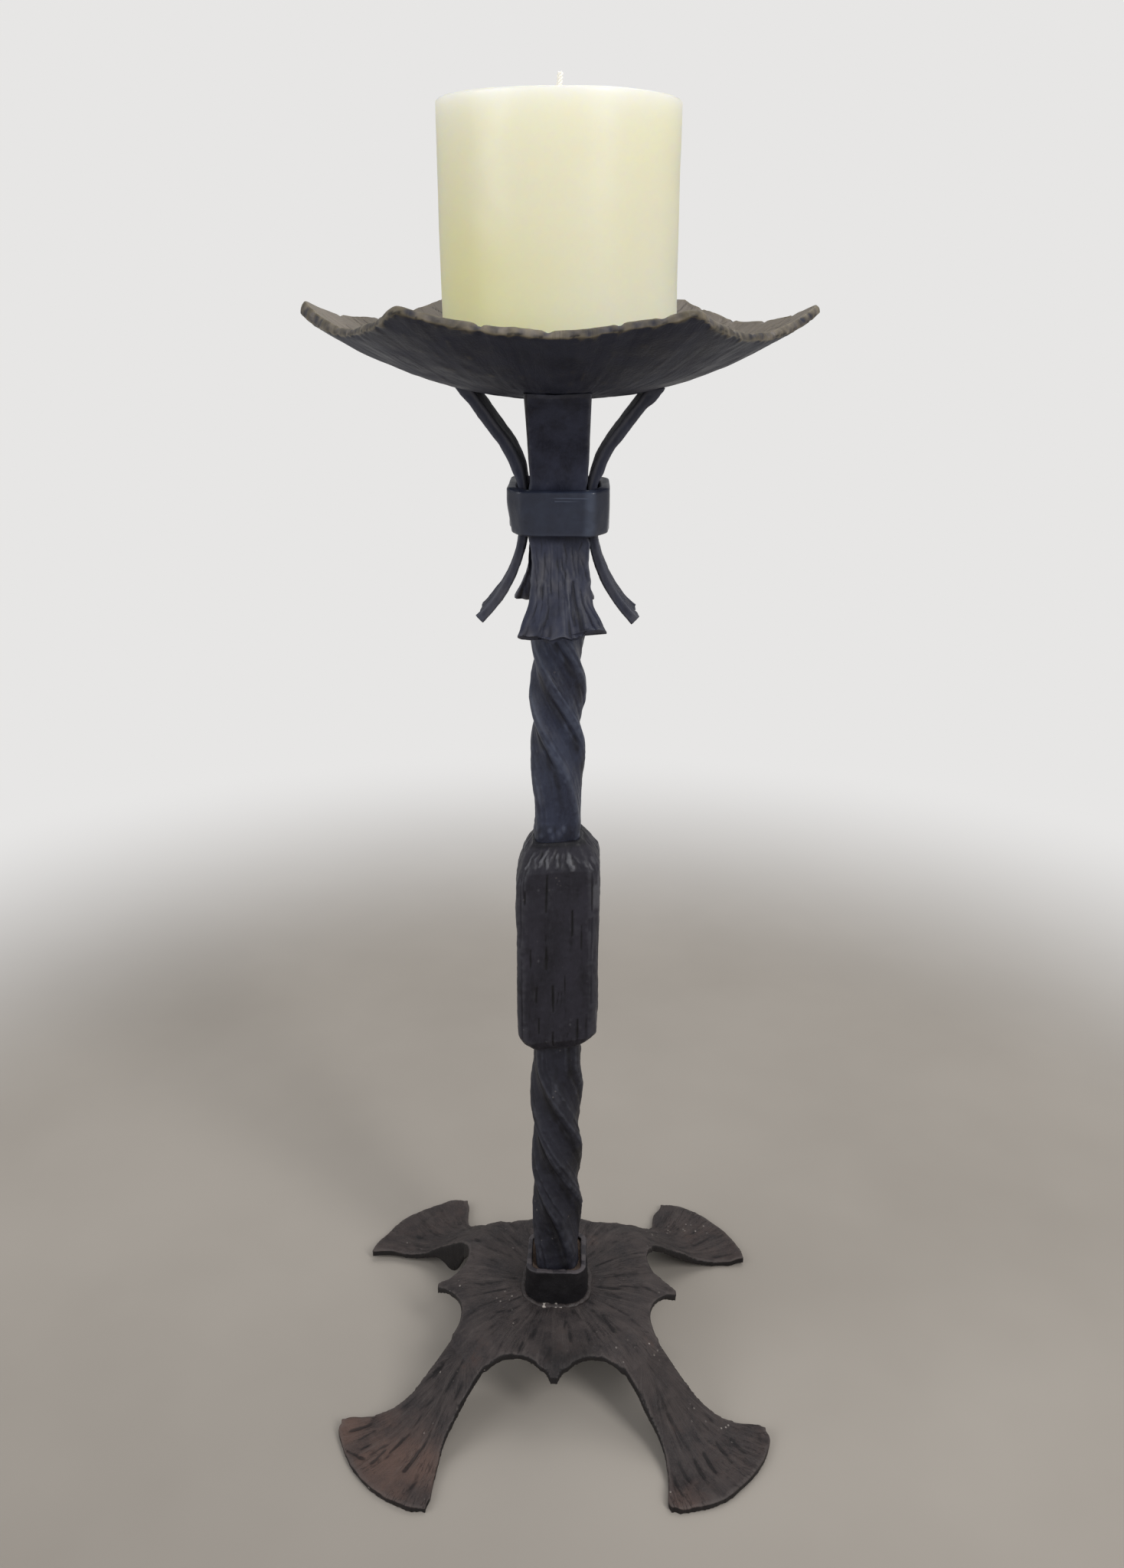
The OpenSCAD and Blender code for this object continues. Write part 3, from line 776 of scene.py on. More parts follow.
for out in LEGS:
    hub = FAN_HUB * out
    own = ease(0.75, 0.8, flat @ hub / FAN_HUB / np.maximum(from_middle, 1))
    folds = folds + fan_folds(flat, hub, 30, 37) * own * ease(64, 80, from_middle)
lumps = 0.5 * rough(points, 15, 21, 3) + 0.2 * rough(points * (1, 1, 0.5), 4.2, 25, 2)
cut = upper * (0.8 * lumps + 0.75 * folds - depth) + (1 - upper) * 0.18 * rough(points, 6, 31, 2)
points = press(plate, cut)
low, high = (np.array(corner[:2]) / MM for corner in (cad_low, cad_high))
points[:, :2] = np.clip(points[:, :2], low + 0.05, high - 0.05)
points[:, 2] = np.maximum(points[:, 2], 0.0)
write_points(plate, points)
print(len(strokes), "chance strokes, the deepest", round(float(depth.max()), 2), "mm")

# %% [markdown]
# The sides and the steeper slopes are painted dark as shade, and a torn patch of the disc in front
# is painted darker. The feet are worn redder and paler towards their tips, most of all at the
# front left. All are painted as masks here.

# %% Paint the plate
upright = read_normals(plate)[:, 2]
torn = ease(-0.6, 0.4, rough(points, 14, 38, 2))
in_front = ease(30, 55, -points[:, 1]) * ease(50, 20, np.abs(points[:, 0])) * torn
# Faces turned away from up are painted dark as shade, and a patch in front is painted darker.
shaded_sides = np.maximum(ease(0.55, 0.1, upright), ease(0.82, 0.5, upright) * ease(112, 100, from_middle))
mark(plate, "soot_and_shade", np.maximum(shaded_sides, 0.6 * in_front))
redder = 0.35 + 0.65 * ease(40, 100, -points[:, 0] * 0.6 - points[:, 1])
mark(plate, "bare_and_highlight", redder * ease(84, 112, from_middle) * (0.55 + 0.35 * rough(points, 22, 35, 3)))
dress(plate, base_iron, "forged_base", "stand", "base_plate")

# %% [markdown]
# ## Square loops
# The collar and the band are flat bar bent round a square with soft corners. A loop of evenly
# spaced points round such a square, each with the direction that faces out, is all that is needed:
# at each point we draw the bar's small section, and the row of sections closes into a hoop.

# %% Square loop and hoop
def square_loop(half, corner, count):
    """Evenly spaced points round a square with round corners, and the outward directions there."""
    straight, arc = 2 * (half - corner), corner * np.pi / 2
    run = np.arange(count) / count * 4 * (straight + arc)
    quarter = np.floor(run / (straight + arc))
    rest = run - quarter * (straight + arc)
    turn = np.clip((rest - straight) / max(arc, 1e-6), 0, 1) * np.pi / 2
    x = half - corner + corner * np.cos(turn)
    y = np.minimum(rest, straight) - straight / 2 + corner * np.sin(turn)
    swing = quarter * np.pi / 2
    points = np.stack([x * np.cos(swing) - y * np.sin(swing), x * np.sin(swing) + y * np.cos(swing)], 1)
    return points, np.stack([np.cos(turn + swing), np.sin(turn + swing)], 1)


def bar_section(wide, tall, edge, count):
    """A flat bar's section with rounded edges: across, then up, centred on 0, 0."""
    wide, tall = wide / 2 - edge, tall / 2 - edge
    run = np.cumsum([0, 2 * tall, edge * np.pi / 2, 2 * wide, edge * np.pi / 2])
    total = 2 * run[-1]
    places = []
    for s in np.arange(count) / count * total:
        flip, s = (-1, s - run[-1]) if s >= run[-1] else (1, s)
        if s < run[1]:
            p = (wide + edge, -tall + s)
        elif s < run[2]:
            a = (s - run[1]) / edge
            p = (wide + edge * np.cos(a), tall + edge * np.sin(a))
        elif s < run[3]:
            p = (wide - (s - run[2]), tall + edge)
        else:
            a = np.pi / 2 + (s - run[3]) / edge
            p = (-wide + edge * np.cos(a), tall + edge * np.sin(a))
        places.append((flip * p[0], flip * p[1]))
    return np.array(places)


def swept(path, out, across, up, middle):
    """Rings of a hoop: a section, given as across and up, drawn at each point of a flat path."""
    level = path[:, None] + out[:, None] * np.broadcast_to(across, (len(path), up.shape[-1]))[..., None]
    return np.concatenate([level, np.broadcast_to(middle + up, level.shape[:2])[..., None]], -1)


def hoop_rings(outer_half, wall, corner, low, high, edge, path_count, section_count):
    """Rings of a flat bar on edge, bent round a square with soft corners."""
    path, out = square_loop(outer_half - wall / 2, corner - wall / 2, path_count)
    profile = bar_section(wall, high - low, edge, section_count)
    return swept(path, out, profile[:, 0], profile[:, 1], (low + high) / 2)


def loop_reach(half, corner, turn):
    """How far a round-cornered square reaches in each direction."""
    loop, _ = square_loop(half, corner, 720)
    angle = np.arctan2(loop[:, 1], loop[:, 0])
    order = np.argsort(angle)
    return np.interp(turn, angle[order], np.linalg.norm(loop[order], axis=1), period=2 * np.pi)


print("a 30 mm square loop reaches", round(float(loop_reach(15, 4, np.pi / 4)), 1), "mm at its corners")

# %% [markdown]
# ## The collar
# The collar hides the joint between the shaft and the plate. It widens a little towards the
# plate and its corners get rounder there, because it was driven on hot. Its upper rim is nicked
# here and there. Its upward faces are painted lighter as a highlight and its sides darker as shade.

# %% Collar
COLLAR_HALF, COLLAR_WALL, COLLAR_CORNER, PLATE_Z, COLLAR_H = 16.7, 3.0, 6.8, 42.0, 22.0
FOOT_CORNER = 13.0                              # corner radius of the collar's foot and of the weld
COLLAR_TOP = PLATE_Z + COLLAR_H

rings = hoop_rings(COLLAR_HALF, COLLAR_WALL, COLLAR_CORNER, PLATE_Z, COLLAR_TOP, 0.7, 240, 96)
collar = ring_piece("square_collar", rings, hoop=True)
points = read_points(collar)
turn = np.arctan2(points[:, 1], points[:, 0])
rounder = loop_reach(COLLAR_HALF + 1.1, FOOT_CORNER, turn) / loop_reach(COLLAR_HALF, COLLAR_CORNER, turn)
share = ease(COLLAR_TOP - 3, PLATE_Z + 1, points[:, 2])
points[:, :2] *= (1 - 0.012 * (1 - share) + (rounder - 1) * share)[:, None]
write_points(collar, points)
uneven = 0.3 * rough(points, 9, 51, 3) + 0.1 * rough(points, 2.5, 55, 2)
points = press(collar, uneven * ease(PLATE_Z, PLATE_Z + 2, points[:, 2]))
nicks = 0.5 * ease(0, 0.6, rough(points, 7, 56, 2)) * ease(COLLAR_TOP - 2, COLLAR_TOP, points[:, 2])
points[:, 2] = np.clip(points[:, 2] - nicks, PLATE_Z - 0.4, COLLAR_TOP)
write_points(collar, points)
upright = read_normals(collar)[:, 2]
# Upward faces are painted lighter, as a highlight.
mark(collar, "bare_and_highlight", ease(0.5, 0.9, upright) * ease(-0.7, 0.2, rough(points, 4, 50, 2)))
# The sides are painted darker, as shade.
mark(collar, "soot_and_shade", 0.7 * ease(0.5, 0.2, upright))
dress(collar, collar_iron, "forged_iron", "stand", "base_collar")

# %% [markdown]
# Below the collar a bead of weld runs round the outside, lumpy because it was laid drop by drop,
# with a few bright drops in front. It is a thin hoop whose section swells and shrinks. Between
# the collar and the bar brown dust has settled: a shallow ring that fills the gap almost to the
# rim. Neither is in the CAD model, so both only ride on the stand.

# %% Weld bead and settled dust
BEAD_COUNT, BEAD_COLS, BEAD_DROPS = 280, 20, 31
DUST_COLS, DUST_INSIDE = 180, 9.6               # the dust starts inside the bar, where it isn't seen
DUST_STEPS = ((0.0, 14.0), (0.0, 18.6), (0.4, 19.1), (0.8, 19.5), (1.0, 19.9), (1.03, 14.0))

path, out = square_loop(COLLAR_HALF + 1.6, FOOT_CORNER, BEAD_COUNT)
angle, steps = bearings(BEAD_COLS), np.arange(BEAD_COUNT) / BEAD_COUNT
drops = 1.4 + 0.25 * np.abs(np.sin(steps * np.pi * BEAD_DROPS)) + 0.3 * noise(np.c_[path, 0 * steps], 6, 57)
drops = drops[:, None]
weld = ring_piece("collar_weld", swept(path, out, drops * np.cos(angle), 0.8 * drops * np.sin(angle),
                                       PLATE_Z + 0.1), hoop=True)
points = read_points(weld)
lumps = rough(points, 2.2, 58, 2)
press(weld, 0.35 * lumps)
in_front = ease(-16, -19.5, points[:, 1]) * ease(8, 6, np.abs(points[:, 0] + 1))
mark(weld, "bare_and_highlight", in_front * ease(0.1, 0.45, lumps))
dress(weld, weld_iron, "forged_iron", "stand")

turn = bearings(DUST_COLS)
gap = loop_reach(COLLAR_HALF - COLLAR_WALL, 4.5, turn) + 0.1 - DUST_INSIDE
rings = np.array([around(DUST_INSIDE + gap * share, turn, PLATE_Z + z) for share, z in DUST_STEPS])
rings[1:5, :, 2] += 0.35 * rough(rings[1:5], 4, 59, 3)
dress(ring_piece("collar_dust", rings), dust_brown, "forged_base", "stand")

# %% [markdown]
# ## The twisted bars
# A square bar is heated, held in a vice and turned. Its four edges become screw lines, running
# left-handed here, and its faces hollow a little between them. We describe the section by how far
# it reaches in each direction: each side gives a limit, and the limits are blended so that the
# edges between them come out rounded. The higher the sharpness, the tighter that rounding.

# %% Section of a square bar with its edges knocked off
def blended_reach(angle, sides, sharpness):
    """How far a section reaches. sides: the bearing and the distance of each of its flat sides."""
    total = 0
    for bearing, distance in sides:
        total = total + np.clip(np.cos(angle - bearing) / distance, 0, None) ** sharpness
    return total ** (-1 / sharpness)


def eight_sided(angle, distances, sharpness):
    """A section with a side every 45 degrees, from angle 0 round."""
    return blended_reach(angle, [(k * np.pi / 4, d) for k, d in enumerate(distances)], sharpness)


RIDGES = [(k + 0.5) * math.pi / 2 for k in range(4)]
NARROW, BROAD = math.radians(17), math.radians(-27)


def ridged_reach(angle, half, crests):
    """A square bar whose four ridges are single lines, with a narrow side and a broad side each."""
    sides = []
    for ridge, crest in zip(RIDGES, crests):
        sides += [(ridge - math.pi / 4, half), (ridge + NARROW, crest * math.cos(NARROW)),
                  (ridge + BROAD, crest * math.cos(BROAD))]
    return blended_reach(angle, sides, 42.0)


print("a 22 mm bar reaches", round(float(ridged_reach(RIDGES[0], 11, [13.6] * 4)), 1), "mm at a ridge")

# %% [markdown]
# Both bars are made by one function. It turns the ridged section as it climbs, hollows the faces
# where the twist is tight, and cuts creases beside the ridges that come and go. Uneven lumps
# follow, some of them drawn out along the bar. The crease side of each ridge is painted dark as
# shade and its broad side lighter as a highlight, so the masks are painted from the same angles.

# %% One twisted bar as rings
BAR_COLS, TENON = 168, 6.0
LOWER_Z, BLOCK_Z, UPPER_Z, BAND_Z = 42.0, 201.0, 327.0, 481.0
BURIED = 9                                      # how far each bar reaches into the block
BAR_ANGLE = bearings(BAR_COLS)


def bar_rings(heights, quarters, half, crest, seed, rude, crease):
    """Rings up a twisted bar, without its tenons. quarters: quarter turns reached at each height."""
    turn = -np.pi / 2 * quarters
    wander = [noise(lying(heights, 40 * k), 13, seed)[:, None] for k in range(4)]
    reach = ridged_reach(BAR_ANGLE, half, [crest + 0.32 * rude * w for w in wander])
    hollow = 15.0 * np.abs(np.gradient(turn, heights))[:, None]
    reach = reach - hollow * (np.cos(4 * BAR_ANGLE) * 0.5 + 0.5) ** 2
    for k, ridge in enumerate(RIDGES):          # creases on both sides of a ridge, which come and go
        for aside, wide, deep, other in ((17, 0.05, 0.4, 1), (-15, 0.09, crease, 2)):
            off = (BAR_ANGLE - ridge - math.radians(aside) + np.pi) % (2 * np.pi) - np.pi
            reach = reach - deep * bell(off, wide) * ease(-0.5, 0.4, wander[(k + other) % 4])
    rings = around(reach, BAR_ANGLE + turn[:, None], heights[:, None])
    drawn_out = around(40, BAR_ANGLE, rings[..., 2] * 0.16)
    uneven = rude * (0.2 * rough(drawn_out, 7, seed, 2) + 0.28 * rough(rings, 14, seed + 5, 2)
                     + 0.14 * rough(rings, 3.5, seed + 9, 2))
    low, high = heights[0], heights[-1]
    fade = ease(low, low + 3, rings[..., 2]) * ease(high, high - 3, rings[..., 2])
    rings[..., :2] *= (1 + (uneven * fade - 0.1) / reach)[..., None]
    return rings


def tenon_rings(cols, *steps):
    """Rings of a round tenon or of its socket, from pairs of extra radius and height."""
    return round_rings(cols, [(TENON + more, z) for more, z in steps])


def per_ring(values, points):
    """The same values for every ring of a piece, and 0 for the two points that close its ends."""
    return np.append(np.tile(values, (len(points) - 2) // len(values)), (0, 0))


def paint_ridges(piece, seed, crease_shade, pale):
    """Painted shade on the crease side of each ridge, with random dark patches, and a painted highlight on
    its broad side.
    """
    points = read_points(piece)
    off = per_ring(np.degrees(BAR_ANGLE) % 90 - 45, points)
    broken = rough(points * (1, 1, 0.35), 4.5, seed, 3)
    # Painted shade on the crease side of each ridge.
    soot_and_shade = crease_shade * bell(off + 21, 14) * ease(-1.0, 0.3, broken)
    soot_and_shade = np.maximum(soot_and_shade, 0.35 * ease(0.25, 0.8, rough(points * (1, 1, 0.3), 3.0, seed + 4, 2)))
    # The pale strip on the broad side of each ridge is a painted highlight.
    return soot_and_shade, pale * bell(off - 13, 13) * ease(0.5, -0.6, broken)

# %% [markdown]
# The lower bar was twisted unevenly: three quarter turns show between the collar and the block,
# closer together at first. A table of quarter turns by height says so, and its joints are then
# smoothed. The bar is thick and rough, and it has a round tenon at each end.

# %% Lower bar
LOWER_TURNS = {42: 1.0, 60: 1.0, 66: 1.02, 80: 1.2, 97: 1.5, 132.5: 2.5, 171: 3.5, 192: 4.0, 212: 4.0}

heights = np.linspace(LOWER_Z, BLOCK_Z + BURIED, 241)
turns = np.interp(heights, list(LOWER_TURNS), list(LOWER_TURNS.values()))
for _ in range(30):
    turns[1:-1] = 0.5 * turns[1:-1] + 0.25 * (turns[:-2] + turns[2:])
body = bar_rings(heights, turns, 12.15, 14.5, 61, rude=1.6, crease=0.8)
foot = tenon_rings(BAR_COLS, (-1.2, 22.5), (-0.3, 22.9), (0, 23.8), (0, 30), (0, 36), (0, LOWER_Z - 0.1))
neck = tenon_rings(BAR_COLS, (0, BLOCK_Z + 9.1), (0, BLOCK_Z + 13), (0, BLOCK_Z + 17), (-0.6, BLOCK_Z + 18))
lower = ring_piece("lower_twist", np.vstack([
    foot, shrunk(body[0], 0.75, 0.93), body, shrunk(body[-1], 0.93, 0.75), neck]))
soot_and_shade, lit_ridge_side = paint_ridges(lower, 62, 0.8, 0.45)
mark(lower, "soot_and_shade", soot_and_shade)
mark(lower, "bare_and_highlight", lit_ridge_side)
dress(lower, lower_iron, "forged_iron", "stand", "lower_bar")

# %% [markdown]
# The upper bar stands on the block in a ring of small weld ripples, and ends in a square head
# that is hidden by the band. It follows the twist of the CAD model: gentle at the foot, and even
# after that, so its ridges lie on the same lines.

# %% Upper bar
HEAD_Z0, HEAD_Z1, HEAD_W = BAND_Z - 9.25, BAND_Z + 9.25, 25.6
WELD_BEADS, WELD_RADIUS = 26, 11.6


def eased(share, gentle):
    """Share of the twist reached at a share of the length, with a gentle start."""
    start = share * share / (2 * gentle * (1 - gentle / 2))
    return np.where(share < gentle, start, (share - gentle / 2) / (1 - gentle / 2))


heights = np.linspace(UPPER_Z - BURIED, HEAD_Z0, 231)
quarters = 4 * eased(np.clip((heights - UPPER_Z) / (HEAD_Z0 - UPPER_Z), 0, 1), 0.3)
body = bar_rings(heights, quarters, 11.1, 13.6, 71, rude=1.1, crease=0.9)
foot = tenon_rings(BAR_COLS, (-0.6, UPPER_Z - 18), (0, UPPER_Z - 17), (0, UPPER_Z - 13), (0, UPPER_Z - 9.1))
reach = eight_sided(BAR_ANGLE, [HEAD_W / 2, (HEAD_W - 1.5) / math.sqrt(2)] * 4, 60.0)
head = np.array([around(reach, BAR_ANGLE, z) for z in np.linspace(HEAD_Z0 + 0.1, HEAD_Z1, 12)])
upper = ring_piece("upper_twist", np.vstack([
    foot, shrunk(body[0], 0.75, 0.93), body, head, shrunk(head[-1], 0.9, 0.5)]))
points = read_points(upper)
swell = np.zeros(len(points))
for k in range(WELD_BEADS):
    bead_turn = (k + chance.uniform(-0.4, 0.4)) / WELD_BEADS * 2 * np.pi
    centre = around(WELD_RADIUS, bead_turn, UPPER_Z + chance.uniform(-3.5, 2.5))
    away = np.linalg.norm((points - centre) * (1, 1, 0.7), axis=1) / chance.uniform(1.2, 2.0)
    swell = np.maximum(swell, chance.uniform(0.3, 0.6) * bell(away, 1))
press(upper, swell)
soot_and_shade, lit_ridge_side = paint_ridges(upper, 72, 0.7, 0.6)
weld_ring = ease(UPPER_Z + 6, UPPER_Z + 2, points[:, 2])
soot_and_shade = soot_and_shade * ease(UPPER_Z + 4, UPPER_Z + 16, points[:, 2])
mark(upper, "soot_and_shade", np.maximum(soot_and_shade, 0.5 * weld_ring * ease(0.3, 0.1, swell)))
mark(upper, "bare_and_highlight", np.maximum(0.4 * ease(0.12, 0.4, swell), lit_ridge_side * (1 - weld_ring)))
dress(upper, shaft_iron, "forged_iron", "stand", "upper_bar")

# %% [markdown]
# ## The block
# The block was left thick between two drawn-down shoulders. Its rings are eight-sided, four
# faces and four cut edges, and each side has its own width and its own curve at both shoulders,
# because no two were struck alike. Both ends lean up to the right. A socket in each end takes
# the tenon of a bar.

# %% Block
COLS = 240
BLOCK_LOW, BLOCK_TOP, LOW_HALF, TOP_HALF, LOW_CUT, TOP_CUT = 5.0, 121.0, 12.9, 11.9, 16.2, 15.6
SIDES = [  # right, back, left, front: half width, run and roundness of the upper and of the lower shoulder
    (21.35, 14.5, 1.5, 8.5, 1.4), (20.3, 18.0, 1.6, 10.0, 1.3),
    (20.45, 22.0, 1.6, 12.0, 1.15), (20.3, 12.5, 1.35, 9.0, 1.3)]
EDGES = [(26.3, 18, 11), (26.3, 24, 15), (26.6, 22, 13), (26.7, 17, 11)]   # cut edges between those sides
climb = np.concatenate([
    np.linspace(BLOCK_LOW, 26, 50), np.linspace(26.7, 96, 96), np.linspace(96.5, BLOCK_TOP, 64)])


def shoulders(full, top, top_run, top_bow, low, low_run, low_bow):
    """Half width by height: full in the middle, and drawn in to top and low at the ends."""
    upper_swell = 1 - (1 - np.clip((BLOCK_TOP - climb) / top_run, 0, 1)) ** top_bow
    lower_swell = 1 - (1 - np.clip((climb - BLOCK_LOW) / low_run, 0, 1)) ** low_bow
    return np.minimum(top + (full - top) * upper_swell, low + (full - low) * lower_swell)[:, None]


limits = []
for (half, run, bow, low_run, low_bow), (cut, cut_run, cut_low) in zip(SIDES, EDGES):
    full = half * (1 - 0.022 * ease(95, 60, climb))
    limits.append(shoulders(full, TOP_HALF, run, bow, LOW_HALF, low_run, low_bow))
    limits.append(shoulders(cut, TOP_CUT, cut_run, 1.7, LOW_CUT, cut_low, 1.4))
angle = bearings(COLS)
rings = around(eight_sided(angle, limits, 38.0), angle, BLOCK_Z + climb[:, None])
rings[..., :2] *= 0.994
lift = 1.1 * ease(60, BLOCK_TOP, climb) + 2.6 * ease(50, BLOCK_LOW, climb)
rings[..., 2] += lift[:, None] * rings[..., 0] / 20
run = np.concatenate([[0], np.cumsum(np.linalg.norm(np.diff(rings[100], axis=0), axis=1))])
run -= np.interp(1.5 * np.pi, angle, run)       # run is 0 in the middle of the front face
socket_low = tenon_rings(COLS, (0.1, BLOCK_Z + 19), (0.15, BLOCK_Z + 15), (0.15, BLOCK_Z + 10))
socket_high = tenon_rings(COLS, (0.15, UPPER_Z - 10), (0.15, UPPER_Z - 15), (0.1, UPPER_Z - 19))
block = ring_piece("chiselled_block", np.vstack([
    socket_low, shrunk(rings[0], 0.8), rings, shrunk(rings[-1], 0.8), socket_high]))
print("once round the block is", round(float(run[-1] - run[0]), 1), "mm")

# %% [markdown]
# The faces were cut with a chisel until they looked like bark: long upright furrows, short dents
# on the shoulder below, and marks like fingers under the shoulder above. They are strokes again,
# drawn on a map of the block: distance round it across, height up. The marks in front are placed
# one by one, and the other sides get theirs by chance.

# %% Chisel marks on the block
DEEP_CUTS = [  # across, height, across, height, half width, depth
    (-15.1, 91, -15.3, 98, 0.5, 0.8), (-5.0, 87, -4.4, 107, 0.55, 0.8), (7.8, 74, 7.6, 88, 0.5, 0.9),
    (-5.0, 55, -5.0, 68, 0.6, 0.8), (-10.1, 36, -9.7, 46, 0.55, 0.8), (-1.6, 31, -1.8, 46, 0.6, 0.9),
    (10.5, 14, 10.7, 27, 0.5, 0.8), (-8.9, 18, -8.7, 27, 0.5, 0.7), (-1.9, 9, -1.7, 19, 0.5, 0.7),
    (17.4, 88, 17.2, 108, 0.45, 0.9), (17.2, 60, 17.4, 84, 0.4, 0.6), (17.3, 36, 17.2, 58, 0.4, 0.5),
    (-17.6, 70, -17.5, 104, 0.4, 0.5), (-17.4, 14, -17.6, 60, 0.4, 0.5), (14.6, 10, 15.0, 30, 0.4, 0.5),
    (-13.0, 56, -12.6, 66, 0.4, 0.5), (4.4, 40, 4.2, 52, 0.4, 0.45), (12.4, 66, 12.2, 80, 0.4, 0.5)]
FINGERS = [  # across, lean, lowest, highest, half width, how far they stand out
    (-15.0, 0.25, 109.6, 117, 1.1, 0.55), (-11.0, -0.15, 109.2, 117.5, 0.8, 0.35),
    (-7.2, 0.35, 110.6, 119, 1.0, 0.7), (-4.9, -0.1, 110, 116.5, 0.8, 0.6),
    (-2.6, 0.4, 112, 119.5, 1.1, 0.35), (0.3, 0.15, 110.2, 117, 0.9, 0.65),
    (3.7, 0.1, 109.6, 118, 1.0, 0.3), (7.1, -0.1, 109.2, 118, 1.1, 0.65),
    (11.4, -0.4, 111.5, 117.5, 1.0, 0.35), (14.2, -0.5, 110, 115.5, 1.0, 0.4),
    (17.6, -0.3, 109, 113.5, 0.9, 0.6)]
FLECKS = [(-8.5, 99), (-8.9, 60), (15.5, 49), (-5, 13), (7, 24)]     # small raised specks: across, height
FARTHEST, NEAREST = -120, 42                    # the stretch of the map that the chance strokes cover
FRONT_EDGE = -21                                # where the front face begins

strokes = list(DEEP_CUTS)
for _ in range(130):                            # furrows, a little off upright
    x, z = chance.uniform(FARTHEST, NEAREST), chance.uniform(14, 104)
    strokes.append((x, z, x + chance.normal(0, 0.7), z + chance.uniform(5, 20),
                    chance.uniform(0.3, 0.6), 0.08 + 0.4 * chance.random() ** 2))
for _ in range(60):                             # dents on the lower shoulder
    x, z = chance.uniform(FARTHEST, NEAREST), chance.uniform(7, 17)
    strokes.append((x, z, x + chance.normal(0, 0.6), z + chance.uniform(2, 5),
                    chance.uniform(0.4, 0.7), chance.uniform(0.15, 0.35)))
x = float(FARTHEST)
while x < FRONT_EDGE:
    low = chance.uniform(109, 112)
    FINGERS.append((x, chance.normal(0, 0.2), low, low + chance.uniform(3, 8),
                    chance.uniform(0.7, 1.2), chance.uniform(0.2, 0.6)))
    x += chance.uniform(2.6, 6.0)
FLECKS += [(chance.uniform(FARTHEST, FRONT_EDGE), chance.uniform(8, 108)) for _ in range(14)]
print(len(strokes), "strokes,", len(FINGERS), "finger marks and", len(FLECKS), "flecks")

# %% [markdown]
# The strokes are pressed in over bark-like lumps that are drawn out upright. The deep cuts and the
# upper edge are painted darker. The flecks are rubbed bare, the finger marks are painted pale as
# bare metal with a painted highlight on each ridge, and the right cut edge is painted lighter,
# partly as wear and partly as a highlight of the key lamp. The sockets inside keep their clean walls.

# %% Chisel the block
points = read_points(block)
outside = ease(TENON + 2, TENON + 5, from_axis(points))
chart = np.stack([per_ring(run, points), points[:, 2] - BLOCK_Z], 1)
across, up = chart.T
fingers, flecks = np.zeros(len(points)), np.zeros(len(points))
sway = 0.9 * rough(points, 3.0, 87, 2)
for middle, lean, low, high, width, tall in FINGERS:
    off = across - middle - lean * (up - (low + high) / 2) + sway
    hold = ease(low - 1, low + 1.5, up + sway) * ease(high + 1.5, high - 3, up)
    fingers = np.maximum(fingers, tall * bell(off, width) * hold)
for x, z in FLECKS:
    away = np.hypot(across - x, (up - z) * 0.7)
    flecks = np.maximum(flecks, 0.55 * bell(away, chance.uniform(0.5, 0.8)))
bark = (0.24 * rough(points * (1, 1, 0.25), 3.4, 81, 2) + 0.3 * rough(points, 11, 85, 2)
        + 0.14 * rough(points, 2.4, 89, 2))
press(block, outside * (bark + fingers - gouge(chart, strokes) - 0.15))
streaky = rough(points * (1, 1, 0.22), 3.0, 83, 3)
# The right cut edge is partly wear and partly a painted highlight of the key lamp.
cut_edge = ease(16.8, 18.4, across) * ease(24, 22, across)
# The deep cuts and the upper edge are painted darker.
soot_and_shade = np.maximum(0.75 * ease(0.28, 0.65, gouge(chart, DEEP_CUTS)), 0.45 * ease(0.1, 0.8, streaky))
soot_and_shade = soot_and_shade * (1 - 0.7 * cut_edge) * ease(116, 108, up)
top_edge = ease(117.5, 120, up - across * 0.055 * (np.abs(across) < 22))
mark(block, "soot_and_shade", outside * np.maximum(soot_and_shade, 0.7 * top_edge))
# The finger marks are painted pale: bare metal and a painted highlight on each ridge.
petals = np.clip(fingers / 0.55, 0, 1) * (0.75 + 0.5 * rough(points, 2.2, 88, 2))
mark(block, "bare_and_highlight", outside * np.maximum.reduce([petals, flecks, 0.55 * cut_edge * ease(-0.2, 0.6, streaky)]))
dress(block, block_iron, "forged_iron", "stand", "middle_block")

# %% [markdown]
# ## The strips
# Each strip starts as flat bar. Its upper half is bent out under the pan, and its lower half
# is curled out and hammered into a fan with grooves like folded cloth. A sweep makes it: we walk
# along the middle line, and at each step place a flat section square to it.

# %% Middle line of a strip
STRIP_W, STRIP_T, TIP_T, STRAIGHT = 25.0, 4.0, 3.0, 3.0
UP_R, DOWN_R, DOWN_LEAN, TIP_HALF = 45.0, 64.0, math.radians(46), 19.0
STRIP_MID, HALF_W = HEAD_W / 2 + STRIP_T / 2, STRIP_W / 2
DISH_Z, DISH_R, PAN_T = 719.0, 192.0, 3.0       # the sphere that the pan is cut from
DOWN_STEPS, MID_STEPS, UP_STEPS, TOE_STEPS = 96, 7, 39, 52


def strip_line(up_lean):
    """Distance out, height over the band's middle, and lean, from the lower tip to the upper bend."""
    down = np.linspace(DOWN_LEAN, 0, DOWN_STEPS)
    mid = np.linspace(-STRAIGHT, STRAIGHT, MID_STEPS + 1)[1:]
    up = np.linspace(0, up_lean, UP_STEPS + 1)[1:]
    out = np.concatenate([STRIP_MID + DOWN_R * (1 - np.cos(down)), np.full(MID_STEPS, STRIP_MID),
                          STRIP_MID + UP_R * (1 - np.cos(up))])
    high = np.concatenate([-STRAIGHT - DOWN_R * np.sin(down), mid, STRAIGHT + UP_R * np.sin(up)])
    return out, high, np.concatenate([-down, np.zeros(MID_STEPS), up])


